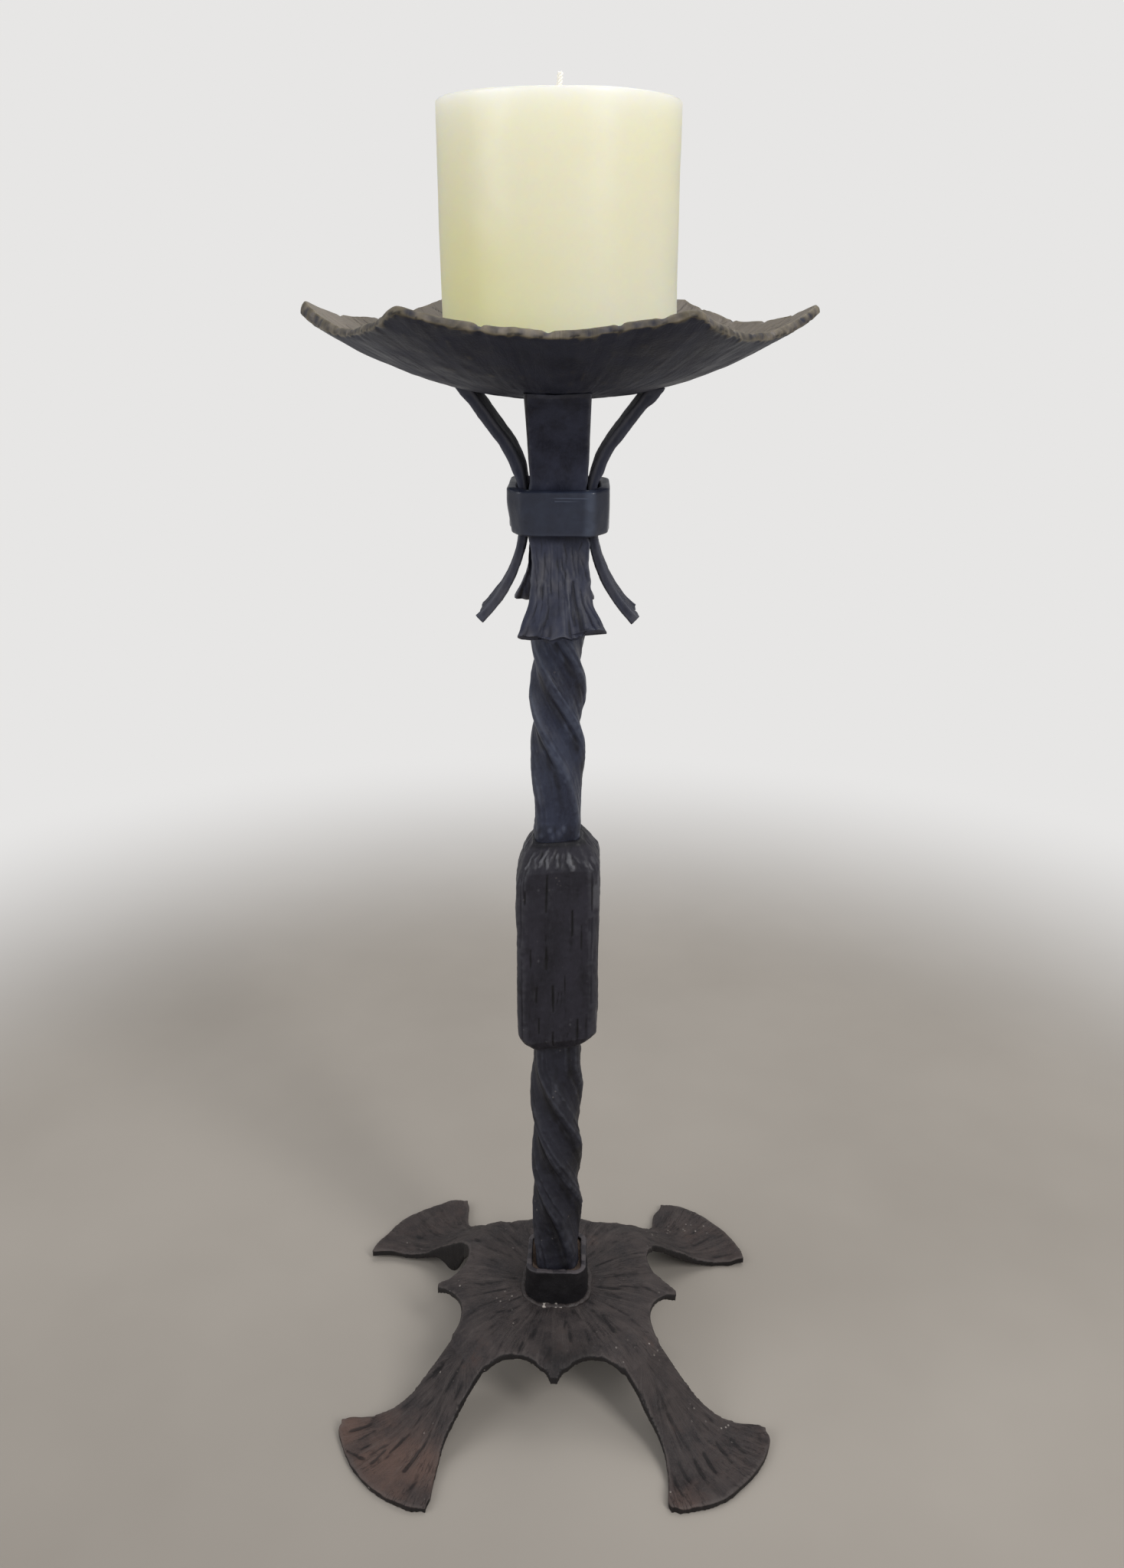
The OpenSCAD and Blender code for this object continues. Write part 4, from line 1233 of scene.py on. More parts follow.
out, high, lean = strip_line(math.radians(39))
print("the tip is", round(out[0], 1), "mm out and", round(-high[0], 1), "mm under the band's middle")

# %% [markdown]
# The hammered end is a sheet full of folds. Broad and narrow noise, warped sideways, gives the
# wave of the whole sheet; short grooves that deepen towards the tip cut its faces. The front
# strip also has folds of its own, which are placed one by one.

# %% Folds of the hammered end
def hammered_folds(across, along, fall, seed, ridges=(), creases=()):
    """How deep each face is cut, and the wave of the whole sheet, in millimetres."""
    across, along, fall = np.broadcast_arrays(across, along, fall)
    dice = np.random.default_rng(seed)
    chart = lying(across * HALF_W, along * 0.2)
    warped = chart + lying(2.4 * noise(chart * (0.4, 1, 1), 3.5, seed + 3))
    wide, fine = noise(warped, 4.6, seed + 1), noise(warped, 1.7, seed + 2)
    strokes = list(creases)
    for _ in range(34):
        x, top = dice.uniform(-12, 12), -dice.uniform(10, 44)
        strokes.append((x, top, x + dice.normal(0, 1.3), top - dice.uniform(5, 16),
                        dice.uniform(0.25, 0.7), dice.uniform(0.15, 0.5)))
    flat = np.stack([across * HALF_W, along], -1).reshape(-1, 2)
    grain = ease(0, 0.3, fall) * (0.5 * np.abs(fine) - 0.35 * noise(warped, 2.6, seed + 5))
    cut = gouge(flat, strokes).reshape(across.shape) + grain - gouge(flat, ridges).reshape(across.shape)
    return cut, fall * (1.5 * wide + 0.35 * fine)

# %% [markdown]
# One function makes the rings of any strip, and its options say how each one differs. The last
# ring of the upper bend is pushed on along the strip until it meets the pan's round underside:
# where a straight line meets a sphere is a quadratic, solved here for every point of the ring at
# once. A small toe swells the outside where the strip is welded to the pan.

# %% Rings of a strip
def strip_rings(seed, flare=0.0, shift=0.0, turned=0.0, curl=0.0, toe_size=1.6, toe_row=0.68,
                up_bend=39.0, thicker=0.0, outward=0.0, tip_t=TIP_T, folded=1.0, under_band=0.0,
                upper_shift=0.0, inside_painted_light=0.0, hem=(), ridges=(), creases=(), cols=132):
    """Rings of the strip that stands on the +X side, tip first, and a mask of worn metal and painted light
    for each point.
    """
    up_lean = math.radians(up_bend)
    out, high, lean = strip_line(up_lean)
    section = bar_section(STRIP_W, STRIP_T, 1.1, cols)
    across, through = section[:, 0] / HALF_W, section[:, 1] / (STRIP_T / 2)
    fall = np.clip((-high - 12) / (STRAIGHT + DOWN_R * math.sin(DOWN_LEAN) - 12), 0, 1)
    half = HALF_W + (TIP_HALF + flare - HALF_W) * fall**3.2 + 0.5 * ease(12, 30, high)
    half = (half + under_band * bell(high + 15, 8))[:, None]
    wavy = rough(lying(high, 9.0 * np.sign(across[0])), 9, seed + 8, 3)[:, None]
    half = half + 0.5 * wavy * (ease(-8, -16, high)[:, None] + 0.4) * folded
    thick = STRIP_T - (STRIP_T - tip_t) * np.clip(-lean / DOWN_LEAN, 0, 1) + thicker * ease(10, 18, high)
    side = shift * (0.5 * ease(-9, -15, high) + 0.5 * fall**2) + upper_shift * ease(9, 14, high)
    cut, wave = hammered_folds(across, high[:, None], fall[:, None], seed, ridges, creases)
    cut, wave = cut * (0.3 + 0.7 * folded), wave * folded
    face = np.clip((np.abs(through) - 0.6) / 0.4, 0, 1) * np.sign(through)
    fold = -curl * np.clip((across - 0.45) / 0.55, 0, 1) ** 1.6 * ease(0.25, 0.9, fall)[:, None]
    push = (thick[:, None] / 2 * through + wave + fold - cut * face
            + (outward * ease(10, 18, high))[:, None])
    swing, wide = math.radians(turned) * fall[:, None] ** 0.8, half * across
    rings = lying(
        out[:, None] + push * np.cos(lean)[:, None] * np.cos(swing) - wide * np.sin(swing),
        side[:, None] + wide * np.cos(swing) + push * np.sin(swing),
        high[:, None] - push * np.sin(lean)[:, None])
    rings = np.concatenate([rings, to_the_pan(rings[-1], up_lean, through, toe_size, toe_row)])
    lean = np.concatenate([lean, np.full(TOE_STEPS, up_lean)])[:, None]
    lumps = (0.24 * rough(rings, 8, seed, 2) + 0.12 * rough(rings, 2.8, seed + 4, 2)) * face
    rings[..., 0] += lumps * np.cos(lean)
    rings[..., 2] -= lumps * np.sin(lean)
    rows = np.arange(len(rings))[:, None]
    line = lying(across * 9, 0, seed)
    ragged = 0.6 * noise(line, 2.4, seed) + 0.8 * noise(line, 6.0, seed + 1)
    rings[..., 2] += folded * np.clip(1 - rows / 12, 0, 1) ** 1.5 * ragged
    if hem:                                     # the cut end is not straight: it hangs by this much
        rings[..., 2] += np.clip(1 - rows / 26, 0, 1) * np.interp(across, *hem)
    shown = np.zeros(rings.shape[:2])
    shown[:len(fall)] = ease(0.0, 0.3, fall)[:, None] * (0.55 - 0.7 * cut)
    first_up = MID_STEPS + DOWN_STEPS
    # Painted light on the inner faces of the upper half, against the shade of the pan.
    inward = inside_painted_light * np.clip(-1.5 * through, 0, 1) * ease(first_up, first_up + 10, rows)
    return rings, np.maximum(shown, inward)


def to_the_pan(last, up_lean, through, toe_size, toe_row):
    """Rings from the upper bend's last ring, straight on to the sphere of the pan's underside."""
    way = np.array([math.sin(up_lean), 0, math.cos(up_lean)])
    to = last - np.array([0, 0, DISH_Z - BAND_Z])
    b, c = to @ way, np.einsum("ij,ij->i", to, to) - (DISH_R - 0.3) ** 2
    length = -b - np.sqrt(b * b - c)
    share = np.linspace(0, 1, TOE_STEPS + 1)[1:]
    rise = last + share[:, None, None] * length[:, None] * way
    rise[..., 1] *= (1 + 0.045 * share)[:, None]
    toe = toe_size * (ease(toe_row, toe_row + 0.2, share) * ease(1.12, 0.94, share))[:, None]
    toe = toe * np.clip(through, 0, 1)
    rise[..., 0] += toe * math.cos(up_lean)
    rise[..., 2] -= 0.55 * toe * math.sin(up_lean)
    return rise

# %% [markdown]
# The same strip is now made four times and turned to its side. The front one is the showpiece:
# it has a ragged hem, placed folds and one corner that curls back. The side strips are seen edge
# on, so they are thicker at the tip and hardly folded, and the inner faces of their upper halves
# are painted lighter, as painted light against the pan's shade. The tops under the pan and the
# front strip's left edge are painted dark as shade.

# %% Four strips, each a little different
def make_strip(name, node, turn, seed, shade_under_pan=0.4, dark_edge=0.0, **shape):
    """A strip turned to its side of the band, with a rounded cap over its tip, painted and dressed."""
    rings, bare_and_highlight = strip_rings(seed, **shape)
    tip, middle = rings[0], rings[0].mean(0)
    caps = [middle + (tip - middle) * s - np.array([0, 0, 0.35 * (1 - s)]) for s in (0.35, 0.7, 0.92)]
    x, y, z = np.moveaxis(np.concatenate([np.array(caps), rings]), -1, 0)
    spin = math.radians(turn)
    piece = ring_piece(name, lying(x * math.cos(spin) - y * math.sin(spin),
                                   x * math.sin(spin) + y * math.cos(spin), z + BAND_Z))
    points = read_points(piece)
    bare_and_highlight = np.concatenate([np.full(len(caps) * bare_and_highlight.shape[1], 0.1), bare_and_highlight.ravel(), (0.1, 0)])
    mark(piece, "bare_and_highlight", bare_and_highlight * (0.8 + 0.5 * rough(points * (1, 1, 0.3), 3.0, seed, 2)))
    # Painted shade on the strip's top, under the pan.
    soot_and_shade = shade_under_pan * ease(507, 519, points[:, 2]) * ease(0.0, 0.5, rough(points, 6, seed + 7, 2) + 0.4)
    # Painted shade along the front strip's left edge.
    left_edge = dark_edge * ease(-11.4, -11.9, points[:, 0]) * ease(492, 496, points[:, 2])
    mark(piece, "soot_and_shade", np.maximum(soot_and_shade, left_edge))
    dress(piece, strip_iron, "forged_strip", "stand", node)


FRONT_RIDGES = [  # two hair ridges and two softer ones: across, along, across, along, half width, height
    (-4.9, -12, -4.4, -38, 0.3, 0.45), (-3.6, -13, -3.3, -34, 0.3, 0.4), (2.6, -28, 3.4, -52, 0.5, 0.5),
    (-8.6, -30, -11.5, -50, 0.6, 0.45)]
FRONT_CREASES = [
    (5.2, -30, 6.4, -54, 0.5, 0.9), (8.0, -33, 9.6, -53, 0.45, 0.8), (10.4, -36, 11.4, -52, 0.35, 0.6),
    (-1.2, -16, -0.6, -44, 0.3, 0.35), (0.9, -20, 1.4, -48, 0.3, 0.4), (-6.6, -18, -7.4, -46, 0.3, 0.35)]
FRONT_HEM = ((-1, -0.6, -0.25, 0.1, 0.45, 0.6, 1), (-2.6, -3.2, -4.6, -4.3, -2.5, 0.3, 1.5))
SIDE = dict(folded=0.25, shade_under_pan=0.1, inside_painted_light=1.3)

make_strip("front_strip", "strip_front", -90, 91, shift=2.6, curl=3.6, toe_size=1.0, under_band=1.0,
           upper_shift=0.7, dark_edge=0.9, hem=FRONT_HEM, ridges=FRONT_RIDGES, creases=FRONT_CREASES)
make_strip("back_strip", "strip_back", 90, 92, shift=2.5, flare=0.5)
make_strip("left_strip", "strip_left", 180, 93, flare=-5.5, turned=-3.0, toe_size=0.8, up_bend=36.5,
           thicker=1.3, tip_t=4.6, **SIDE)
make_strip("right_strip", "strip_right", 0, 94, flare=-5.2, turned=3.0, toe_size=1.7, toe_row=0.6,
           up_bend=37.3, thicker=1.0, outward=0.6, tip_t=5.3, **SIDE)

# %% [markdown]
# ## The band
# The band is the one smooth piece: filed flat and driven over the strips while hot. It has
# soft edges, a faint hollow in each face and hair-fine file lines near its upper edge. Being
# smooth, it shows what stands round it, so its roughness is lower than that of the other iron.

# %% Band
BAND_H, BAND_WALL, BAND_CORNER = 20.5, 4.5, 8.0
BAND_LOW, BAND_TOP = BAND_Z - BAND_H / 2, BAND_Z + BAND_H / 2
BENT_OUT = UP_R * (1 - math.cos(math.asin((BAND_H / 2 - STRAIGHT) / UP_R)))     # the strips, at its edges
BAND_HALF = STRIP_MID + STRIP_T / 2 + BENT_OUT + 0.2 + BAND_WALL
BAND_LIMITS = [BAND_HALF + 0.8, 27.2, BAND_HALF, 29.4, BAND_HALF, 27.0, BAND_HALF, 27.0]
HAIRS = [  # fine file lines in front: across, height, across, height, half width, depth
    (-3, 488.0, 15, 488.3, 0.14, 0.2), (-1, 486.7, 14.5, 487.0, 0.14, 0.18),
    (-9, 479.5, -6, 476.5, 0.2, 0.12), (-17, 477.5, -13, 477.0, 0.25, 0.1)]

rings = hoop_rings(BAND_HALF, BAND_WALL, BAND_CORNER, BAND_LOW, BAND_TOP, 1.0, 280, 100)
band = ring_piece("smooth_band", rings, hoop=True)
points = read_points(band)
turn = np.arctan2(points[:, 1], points[:, 0])   # each corner was hammered flat across, so it is cut off
cut_corner = eight_sided(turn, BAND_LIMITS, 46.0) / loop_reach(BAND_HALF, BAND_CORNER, turn)
points[:, :2] *= cut_corner[:, None]
write_points(band, points)
outer = ease(BAND_HALF - 3, BAND_HALF - 1, np.abs(points[:, :2]).max(1))
on_front = ease(-15, -20, points[:, 1])
scratched = gouge(points[:, [0, 2]], HAIRS) * on_front
uneven = 0.2 * rough(points, 15, 101, 2) + 0.06 * rough(points, 4, 104, 2) - 0.1
points = press(band, outer * uneven - outer * scratched)
points[:, 2] -= 0.8 * on_front * ease(BAND_Z, BAND_TOP, points[:, 2])       # filed lower in front
points = grab(points, (-BAND_HALF, -12, BAND_Z - 12), 18, (2.0, 0.5, 0.8))
points = grab(points, (BAND_HALF, -14, BAND_Z - 12), 14, (-0.6, 0.3, 0.6))
write_points(band, points)

# %% [markdown]
# The band's edges and file lines are a little brighter. One soft patch in front is painted lighter
# as a highlight of the key lamp, and the flattened corners, the inside and the left of the front
# are painted darker as shade.

# %% Paint the band
rim_near = ease(BAND_H / 2 - 1.2, BAND_H / 2, np.abs(points[:, 2] - BAND_Z))
rim_rubbed = 0.35 * rim_near * ease(0.0, 0.7, rough(points, 5, 105, 2))
# Painted highlight of the key lamp, in front.
key_highlight = 0.7 * on_front * bell(points[:, 0] - 14.3, 3.0)
filed = np.clip(scratched * 9, 0, 1) * ease(485.5, 486.5, points[:, 2])
mark(band, "bare_and_highlight", np.maximum.reduce([rim_rubbed, key_highlight, filed]))
# Painted shade on the flattened corners, the inside and the left of the front.
shaded_facets = ease(-11, -15, points[:, 1]) * ease(15, 18, np.abs(points[:, 0]))
band_inside_shade = ease(BAND_HALF - BAND_WALL + 0.6, BAND_HALF - BAND_WALL, np.abs(points[:, :2]).max(1))
mark(band, "soot_and_shade", np.maximum.reduce([0.8 * band_inside_shade, 0.4 * ease(0.1, 0.8, rough(points, 8, 106, 3)),
                                      0.45 * shaded_facets, 0.4 * on_front * ease(2, -14, points[:, 0])]))
dress(band, band_iron, "smooth_band", "stand", "band_collar")

# %% [markdown]
# ## The drip pan
# Six-sided sheet, sunk with a round-faced hammer until it lay like a shallow bowl with its
# corners turned up. The rings run from the rivet hole out over the upper face, round the rim and
# back underneath. The height of each point comes from the sphere of the CAD model, and the
# outline from six sides. Two tables by bearing lift the rim and set its thickness, because the
# hand of the smith left no two corners alike.

# %% Pan outline and profile
PAN_CORNERS = [(111.7, 0.0), (55.7, 96.5), (-55.7, 96.5), (-110.6, 0.0), (-56.8, -95.2), (51.5, -95.4)]
PAN_BOWS = [0.0, 0.0, 0.0, 0.6, 0.4, 2.0]       # how far the side after each corner bows in
PAN_LIFT = {  # how far the rim is lifted above the sphere, by bearing
    0: 0.4, 12: 0.6, 28: 1.5, 38: 3.0, 45: 3.5, 50: 3.7, 60: 3.6, 120: 3.9, 130: 4.2, 138: 3.2, 145: 2.0,
    152: 3.0, 157: 2.9, 163: 1.8, 180: 1.4, 205: 1.7, 240: 2.3, 248: 2.5, 252: 3.1, 257: 3.2, 261: 3.8,
    265: 3.8, 269: 3.1, 276: 3.1, 281: 3.6, 288: 3.7, 294: 3.0, 299: 2.8, 330: 2.2, 346: 1.2}
RIM_T = {0: 3.6, 25: 3.2, 155: 3.2, 180: 4.2, 205: 3.2, 225: 3.0, 240: 2.7, 258: 3.0, 335: 3.2}
PAN_TIP, PAN_TOP, HOLE = 110.4, 566.0, 3.1


def pan_reach(turn):
    """How far the pan's underside reaches in each direction: six hand-cut sides with soft corners."""
    sides, bowed = [], 0
    for (ax, ay), (bx, by), bow in zip(PAN_CORNERS, PAN_CORNERS[1:] + PAN_CORNERS[:1], PAN_BOWS):
        normal = np.array([by - ay, ax - bx]) / math.hypot(bx - ax, by - ay)
        sides.append((math.atan2(normal[1], normal[0]), normal @ (ax, ay)))
        start, end = math.atan2(ay, ax), math.atan2(by, bx)
        share = ((turn - start) % (2 * np.pi)) / ((end - start) % (2 * np.pi))
        bowed = bowed + bow * np.where(share < 1, np.sin(np.pi * np.minimum(share, 1)) ** 2, 0)
    return np.minimum(blended_reach(turn, sides, 80) - bowed, PAN_TIP)


def by_bearing(table, turn):
    return np.interp(np.degrees(turn) % 360, list(table), list(table.values()), period=360)


COLS = 640
turn = bearings(COLS)
rim = pan_reach(turn)
rim = np.minimum(rim - 0.25 + 0.5 * rough(around(rim, turn, 0), 9, 111, 3), PAN_TIP)
lift, rim_t = by_bearing(PAN_LIFT, turn), by_bearing(RIM_T, turn)
left_tip = bell(np.degrees(turn) - 181, 15)
out_share = np.concatenate([np.linspace(0, 0.9, 54), np.linspace(0.91, 0.992, 12)])
rim_above = (0.97, 0.82, 0.6, 0.38, 0.16, 0.03)
steps = [(s, 1.0) for s in out_share] + [(1.0, a) for a in rim_above] + [(s, 0.0) for s in out_share[::-1]]
rows = []
for share, above in steps:                      # share: how far out; above: 1 on top, 0 underneath
    thick = (PAN_T - (PAN_T - rim_t) * ease(0.8, 1.0, share)) * above
    bulge = 0.5 * math.sin(math.pi * above) if 0 < above < 1 else 0.0
    radius = HOLE + (rim - HOLE) * share + bulge
    z = DISH_Z - np.sqrt(DISH_R**2 - radius**2) + lift * ease(0.5, 1.0, share)
    z = z - (1 - above) * 1.5 * left_tip * ease(0.6, 1.0, share)       # the left tip hangs a little
    lean = radius / DISH_R
    radius = radius - thick * lean * ease(0.0, 0.3, share)
    rows.append(around(radius, turn, z + thick * np.sqrt(1 - lean**2)))
pan = ring_piece("drip_dish", np.array(rows), hoop=True)
print("the pan's rim is", round(rim.min(), 1), "to", round(rim.max(), 1), "mm out")

# %% [markdown]
# The upper face was grooved outwards from the middle, mostly near the rim, and the rim itself
# was nicked. Between two nicks the edge is tilted, so the rim steps like a saw with wide teeth.
# The underside only has hammer marks, some of them drawn outwards.

# %% Groove the pan and nick its rim
GROOVES = 380
NICKS = [-105.5, -91, -75.7, -67.3, -45, -33, -22, -9, 8, 19, 33, 48, 64, 80, 97, 108, 124, 143,
         152, 168, 187, 203, 214, 229]          # their bearings

points = read_points(pan)
layer = np.repeat(np.arange(len(steps)), COLS)
above = np.array([a for _, a in steps])[layer]
inside, on_rim = above == 1, (above > 0) & (above < 1)
strokes = []
for _ in range(GROOVES):
    way = chance.uniform(0, 2 * np.pi)
    end = float(pan_reach(np.array([way]))[0]) - abs(chance.normal(0, 9))
    start = end - chance.uniform(6, 26)
    bend = way + chance.normal(0, 0.06)
    strokes.append(ray(start, end, way, bend, chance.uniform(0.5, 1.0), 0.15 + 0.6 * chance.random() ** 1.5))
way = np.degrees(np.arctan2(points[:, 1], points[:, 0]))
bite, tilt = np.zeros(len(points)), np.zeros(len(points))
for k, spot in enumerate(NICKS):
    spread, deep = chance.uniform(0.8, 1.4), chance.uniform(1.0, 1.5)
    gap = (way - spot + 180) % 360 - 180
    bite = np.maximum(bite, deep * np.clip(1 - np.abs(gap) / spread, 0, 1))
    share = ((way - spot) % 360) / ((NICKS[(k + 1) % len(NICKS)] - spot) % 360)
    tilt = np.where(share < 1, 0.5 * np.sin(np.pi * np.clip(share, 0, 1)) + 0.35 * (share - 0.5), tilt)
near_rim = ease(5, 0, pan_reach(np.radians(way)) - from_axis(points))
polar = lying(np.radians(way) * 75, from_axis(points) * 0.16)
under = 0.22 * rough(points, 17, 125, 2) + 0.16 * rough(points, 5.5, 127, 2) + 0.1 * rough(polar, 2.2, 129, 2)
ragged = 0.5 * noise(points, 2.6, 130) * near_rim * ease(0.5, 0.0, above)
grooved = 0.2 * rough(points, 12, 121, 3) - gouge(points[:, :2], strokes)
points = press(pan, inside * grooved + (1 - inside) * under * (1 - near_rim * above))
points[:, 2] += (0.6 * tilt - bite) * near_rim * above**1.5 + ragged
points[:, 2] = np.clip(points[:, 2], DISH_Z - DISH_R, PAN_TOP)
points[:, :2] *= np.minimum(1, (PAN_TIP + 0.2) / np.maximum(from_axis(points), 1))[:, None]
write_points(pan, points)
print(len(strokes), "grooves and", len(NICKS), "nicks")

# %% [markdown]
# The pan's inside is paler towards its tips, partly as paler metal and partly as painted
# highlights in rays that follow the grooves. The rim is rubbed all round, with a ragged painted
# shadow under its edge, and underneath the front is painted lighter as floor light at a grazing angle.

# %% Paint the pan
streaky = ease(-0.1, 0.6, rough(polar, 3.0, 126, 2))
wings = ease(45, 85, from_axis(points) + 7 * rough(points, 18, 133, 2))
# Inside: paler metal, and painted highlights in rays.
inner_pale_and_highlight = inside * (0.2 + 0.6 * wings + 0.4 * wings * streaky)
# Underneath, the front is painted lighter as floor light at a grazing angle.
front_belly = ease(-50, -15, points[:, 1]) * ease(10, 50, np.abs(points[:, 0] + 6)) * (points[:, 1] < 5)
under_floor_light = (above == 0) * (0.3 * front_belly * (0.2 + streaky))
rim_bare = on_rim * (0.42 + 0.4 * rough(points, 3.0, 124, 2))
mark(pan, "bare_and_highlight", inner_pale_and_highlight + under_floor_light + rim_bare)
# Painted ragged shadow under the rim's edge.
mark(pan, "soot_and_shade", on_rim * 0.7 * ease(0.12, 0.5, rough(points, 2.2, 123, 2)) * ease(0.5, 0.2, above))
dress(pan, pan_iron, "forged_iron", "stand", "drip_pan")

# %% [markdown]
# ## Small fixings
# The spike, the washer and the nut are plain turned or sawn pieces, and the CAD shapes are
# already right. They keep their exact meshes and only get a steel material.

# %% Fixings keep their CAD meshes
for node in ("pricket", "foot_washer", "foot_nut"):
    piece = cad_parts[node]
    piece.data.materials.clear()
    piece.data.materials.append(fixing_steel)
print("steel fixings: spike, washer, nut")

# %% [markdown]
# ## Wax
# Light goes a little way into wax before it comes out, which softens its shading and warms its
# shadows. The Principled shader does that with Subsurface. The colour drifts slowly between a
# pale and a deeper ivory and is deeper low down; low on the left the deeper ivory is painted as
# the warm shade of light through the wax. A faint bloom makes the surface duller in patches. The
# group below gives those drifts, and the wick uses it too.

# %% Wax and cotton materials
drift_group, take, give = new_group(
    "Slow drift", {"Drift size": 12.0, "Bloom size": 120.0}, ["Drift", "Bloom"])
place = object_place(drift_group)
join(noise_wire(place, take["Drift size"], 2.0).between(0.3, 0.7), give["Drift"])
join(noise_wire(place, take["Bloom size"], 4.0).between(0.3, 0.7), give["Bloom"])


def wax_like(name, pale, deep, shine, depth, bump):
    """Wax, or cotton soaked in it. depth: how much of the light goes in before it comes out."""
    material, tree, skin = new_material(name)
    drift = place_group(tree, drift_group, Drift_size=14.0, Bloom_size=140.0)
    x, _, z = split_place(tree)
    # Deeper ivory low down, and low on the left as painted warm shade.
    low, aside = z.between(0.645, 0.53), x.between(0.03, -0.05)
    share = math_wire(tree, "MULTIPLY_ADD", low, aside, drift["Drift"] * 0.25)
    share = math_wire(tree, "MULTIPLY_ADD", low, 0.25, share)
    join(mix_colour(share, srgb(*pale), srgb(*deep)), skin["Base Color"])
    join(drift["Bloom"].between(0.0, 1.0, *shine), skin["Roughness"])
    skin["Subsurface Weight"].default_value = depth
    skin["Subsurface Scale"].default_value = 0.05
    skin["Subsurface Radius"].default_value = (1.0, 0.85, 0.5)
    add_bump(tree, skin, drift["Bloom"], bump, 0.0005)
    return material


ivory_wax = wax_like("Ivory wax", (247, 242, 225), (255, 240, 188), (0.3, 0.42), 1.0, 0.1)
wick_cotton = wax_like("Waxed cotton", (250, 249, 246), (244, 241, 232), (0.7, 0.9), 0.0, 0.3)
print("soft materials:", ivory_wax.name, "and", wick_cotton.name)

# %% [markdown]
# The candle is a row of plain round rings: up the bore for the spike, across the foot, up the
# wall, over the soft shoulder and in over a top that has sunk a little round the wick. It was
# poured slightly out of true, so its lower half leans to one side.

# %% Candle
candle_low, candle_high = (corner.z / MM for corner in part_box("candle"))
CANDLE_R, BORE_R, BORE_TOP, SHOULDER = 49.5, 3.8, 563.5, 1.3
CANDLE_TOP = candle_high + 0.7                  # the shoulder is a little higher than the CAD model's

steps = [(BORE_R * 0.4, BORE_TOP), (BORE_R, BORE_TOP), (BORE_R, BORE_TOP - 1)]
steps += [(BORE_R, z) for z in np.linspace(BORE_TOP - 4, candle_low + 0.5, 7)]
steps += [(BORE_R + 0.3, candle_low + 0.05)] + [(r, candle_low) for r in np.linspace(7, CANDLE_R - 1.2, 12)]
steps += [(CANDLE_R - 0.45, candle_low + 0.3), (CANDLE_R - 0.05, candle_low + 1.1)]
steps += [(CANDLE_R, z) for z in np.linspace(candle_low + 2.5, CANDLE_TOP - 2.0, 60)]
steps += [(CANDLE_R - SHOULDER * (1 - math.cos(a)), CANDLE_TOP - SHOULDER * (1 - math.sin(a)))
          for a in np.linspace(0.1, 1.5, 9)]
steps += [(r, CANDLE_TOP - 0.9 * bell(r - 30, 14)) for r in np.linspace(45, 6, 22)]
steps += [(3.2, CANDLE_TOP - 0.2), (1.9, CANDLE_TOP - 0.05)]
candle = ring_piece("pillar_wax", round_rings(180, steps))
points = read_points(candle)
wall = ease(CANDLE_R - 6, CANDLE_R - 2, from_axis(points))
points = press(candle, wall * (0.15 * rough(points, 22, 131, 2) - 0.1))
points[:, 0] += 0.8 * ease(600, candle_low, points[:, 2]) * wall
points[:, 2] = np.clip(points[:, 2], candle_low, CANDLE_TOP)
write_points(candle, points)
dress(candle, ivory_wax, "candle_wax", "candle_body", "candle")

# %% [markdown]
# The wick is a cotton plait. Three round strands that circle each other are close enough at
# this size: each is a tube along a helix, and together they lean a little to one side.

# %% Wick
wick_low, wick_high = (corner.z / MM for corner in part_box("wick"))
STRAND_R, STRAND_COLS, PITCH = 0.62, 12, 4.2    # PITCH: the height of one turn of the plait

heights = np.linspace(wick_low, wick_high - 0.1, 420)
lean = np.clip((heights - CANDLE_TOP) / (wick_high - CANDLE_TOP), 0, 1)
thick = STRAND_R * np.minimum(1, np.sqrt(np.clip((wick_high - heights) / 0.9, 0.05, 1)))
tube = around(thick[:, None], bearings(STRAND_COLS), 0)
all_points, all_faces = [], []
for strand in range(3):
    line = around(STRAND_R, heights / PITCH * 2 * np.pi + strand * 2 * np.pi / 3, heights)
    line += lying(0.6 * lean**1.5, -0.3 * lean)
    rings = line[:, None] + tube
    all_faces += ring_faces(*rings.shape[:2], False, sum(len(p) for p in all_points))
    all_points += [rings.reshape(-1, 3), rings[0].mean(0)[None], rings[-1].mean(0)[None]]
wick = mesh_piece("plaited_wick", np.vstack(all_points), all_faces)
dress(wick, wick_cotton, "wick_cotton", "candle_body", "wick")

# %% [markdown]
# ## The set
# A pale floor that fades into a pale surround. The floor is a wide disc. Close to the stand it
# is an ordinary matte surface, so it takes the shadow, and further out it turns into plain light
# of the same tone as the world behind it, but only for the camera and for reflections. So no
# horizon shows from any side, and no lamp has to be turned up to make the background pale.

# %% Floor
BACK_TONE = srgb(231, 230, 229)
FLOOR_R, FLOOR_COLS = 6, 96                     # metres
FADE_START, FADE_END = 0.42, 1.0                # where the floor turns into light, in metres

floor_mesh = bpy.data.meshes.new("studio_floor")
floor_rim = around(FLOOR_R, bearings(FLOOR_COLS), 0).tolist()
floor_mesh.from_pydata(floor_rim, [], [list(range(FLOOR_COLS))])
floor = add_object("studio_floor", floor_mesh)
floor.location.z = -0.00005
ground, tree, matte = new_material("Pale studio floor")
matte["Roughness"].default_value = 0.75
matte["Specular IOR Level"].default_value = 0.2
soft = noise_wire(object_place(tree), 3.0).between(0.3, 0.7)
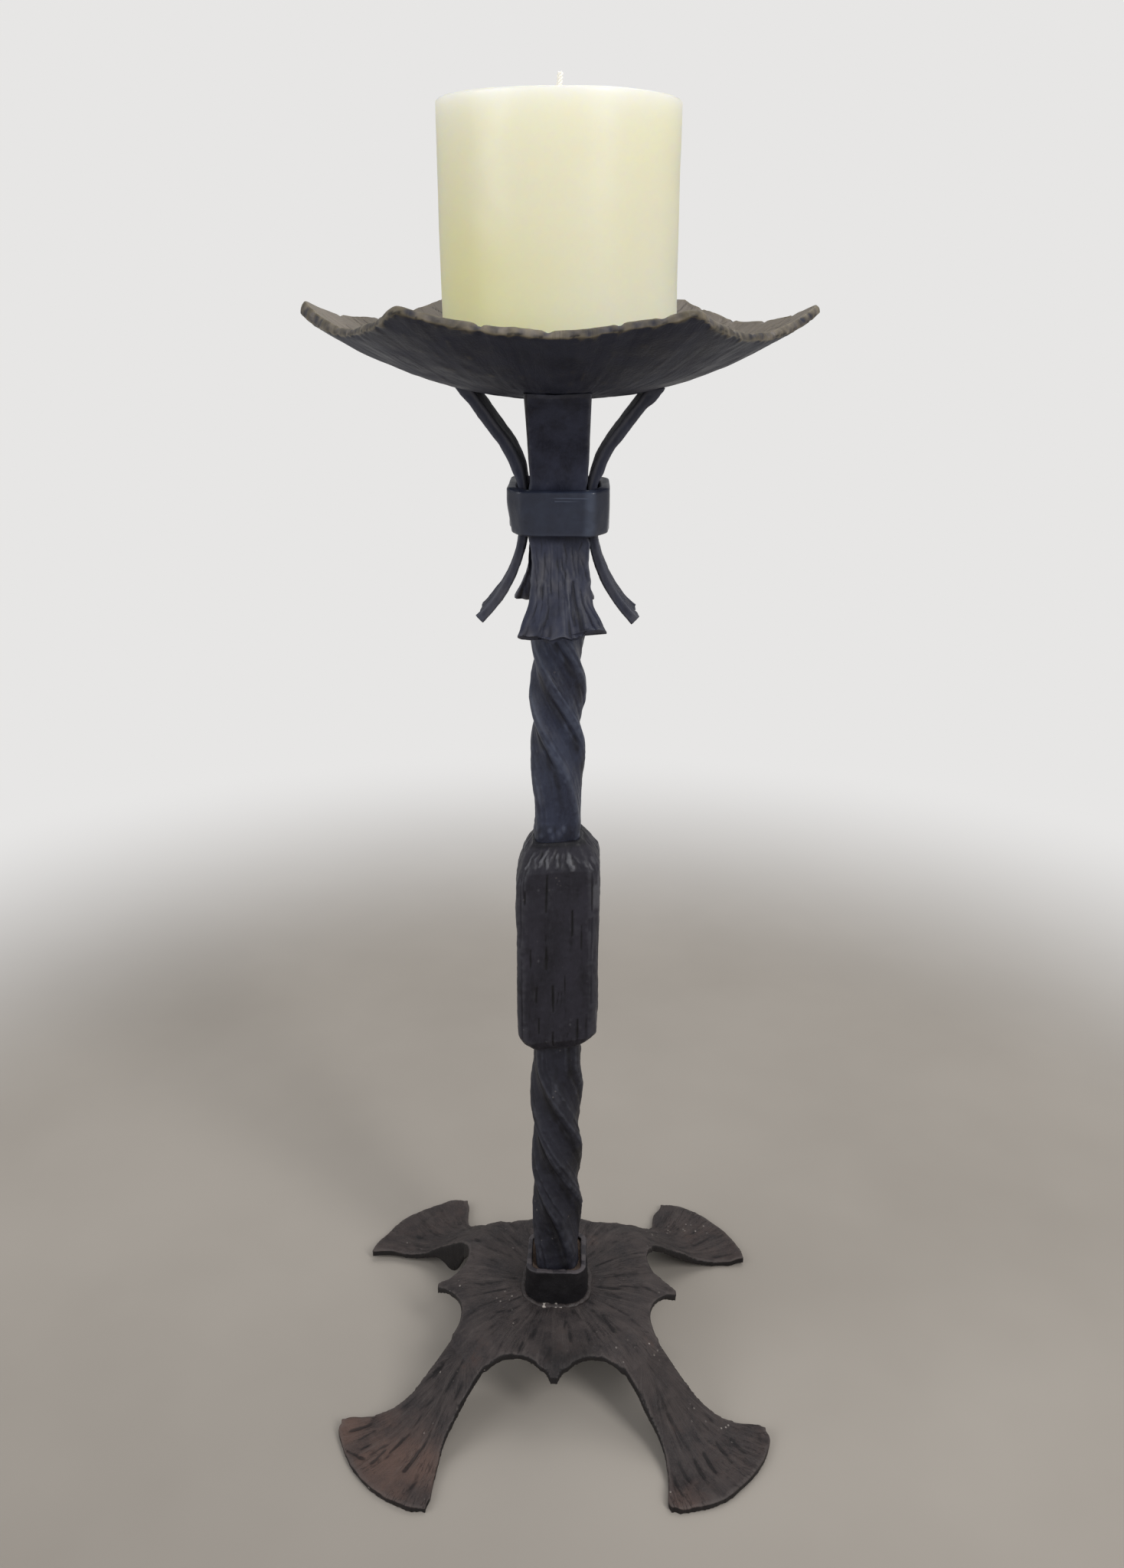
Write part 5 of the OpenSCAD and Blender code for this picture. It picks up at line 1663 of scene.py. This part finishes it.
# The floor is painted darker towards the front, as shade.
front_shade = split_place(tree)[1].between(-0.08, -0.32)
floor_tone = mix_colour(soft, srgb(162, 155, 147), srgb(171, 164, 156))
join(mix_colour(front_shade, floor_tone, srgb(144, 136, 127)), matte["Base Color"])
away = node_wire(tree, "VectorMath", "Value", {0: object_place(tree)}, operation="LENGTH")
rays = tree.nodes.new("ShaderNodeLightPath").outputs
direct, glossy, through = (
    Wire(tree, rays[f"Is {kind} Ray"]) for kind in ("Camera", "Glossy", "Transmission"))
seen = math_wire(tree, "MAXIMUM", direct, math_wire(tree, "MAXIMUM", glossy, through))
blend = node_wire(tree, "MixShader", 0, {
    0: away.between(FADE_START, FADE_END) * seen,
    1: Wire(tree, tree.nodes["Principled BSDF"].outputs[0]),
    2: node_wire(tree, "Emission", 0, {"Color": BACK_TONE})})
join(blend, tree.nodes["Material Output"].inputs["Surface"])
floor_mesh.materials.append(ground)
print("the floor fades from", FADE_START, "to", FADE_END, "m")

# %% [markdown]
# The camera sees a pale surround, and the iron is lit by a weaker, slightly cooler one, so that
# the shadows stay soft without washing out. Three large lamps do the modelling: a tall narrow one
# at the front right gives each ridge its bright line, a broad one at the left fills the shadows,
# and one above and behind lifts the candle and the pan's rim off the background.

# %% World and lamps
world = bpy.data.worlds.new("Studio surround")
bpy.context.scene.world = world
world.use_nodes = True
tree = world.node_tree
shown = tree.nodes["Background"]
shown.inputs["Color"].default_value = BACK_TONE
lit = node_wire(tree, "Background", 0, {"Color": (0.98, 0.99, 1.0, 1), "Strength": 0.37})
choose = node_wire(tree, "MixShader", 0, {
    0: node_wire(tree, "LightPath", "Is Camera Ray", {}), 1: lit, 2: Wire(tree, shown.outputs[0])})
join(choose, tree.nodes["World Output"].inputs["Surface"])

LAMPS = [  # name, bearing from the front in degrees, height in degrees, distance, size, power, colour
    ("key_lamp", 43, 36, 1.9, (0.5, 1.2), 18.0, (1.0, 0.99, 0.97)),
    ("fill_lamp", -60, 24, 2.4, (1.6, 1.6), 21.0, (0.98, 0.99, 1.0)),
    ("top_lamp", 150, 66, 2.0, (1.5, 1.3), 13.0, (1.0, 0.99, 0.97)),
]
for name, bearing, height, distance, size, power, colour in LAMPS:
    lamp = bpy.data.lights.new(name, "AREA")
    lamp.shape, lamp.size, lamp.size_y = "RECTANGLE", *size
    lamp.energy, lamp.color = power, colour
    holder = add_object(name, lamp)
    b, e = math.radians(bearing), math.radians(height)
    toward = Vector((math.sin(b) * math.cos(e), -math.cos(b) * math.cos(e), math.sin(e)))
    holder.location = toward * distance + Vector((0, 0, 0.35))
    holder.rotation_mode = "QUATERNION"
    holder.rotation_quaternion = toward.to_track_quat("Z", "Y")

bpy.context.scene.view_settings.view_transform = "Standard"
print("lamps:", [lamp[0] for lamp in LAMPS])
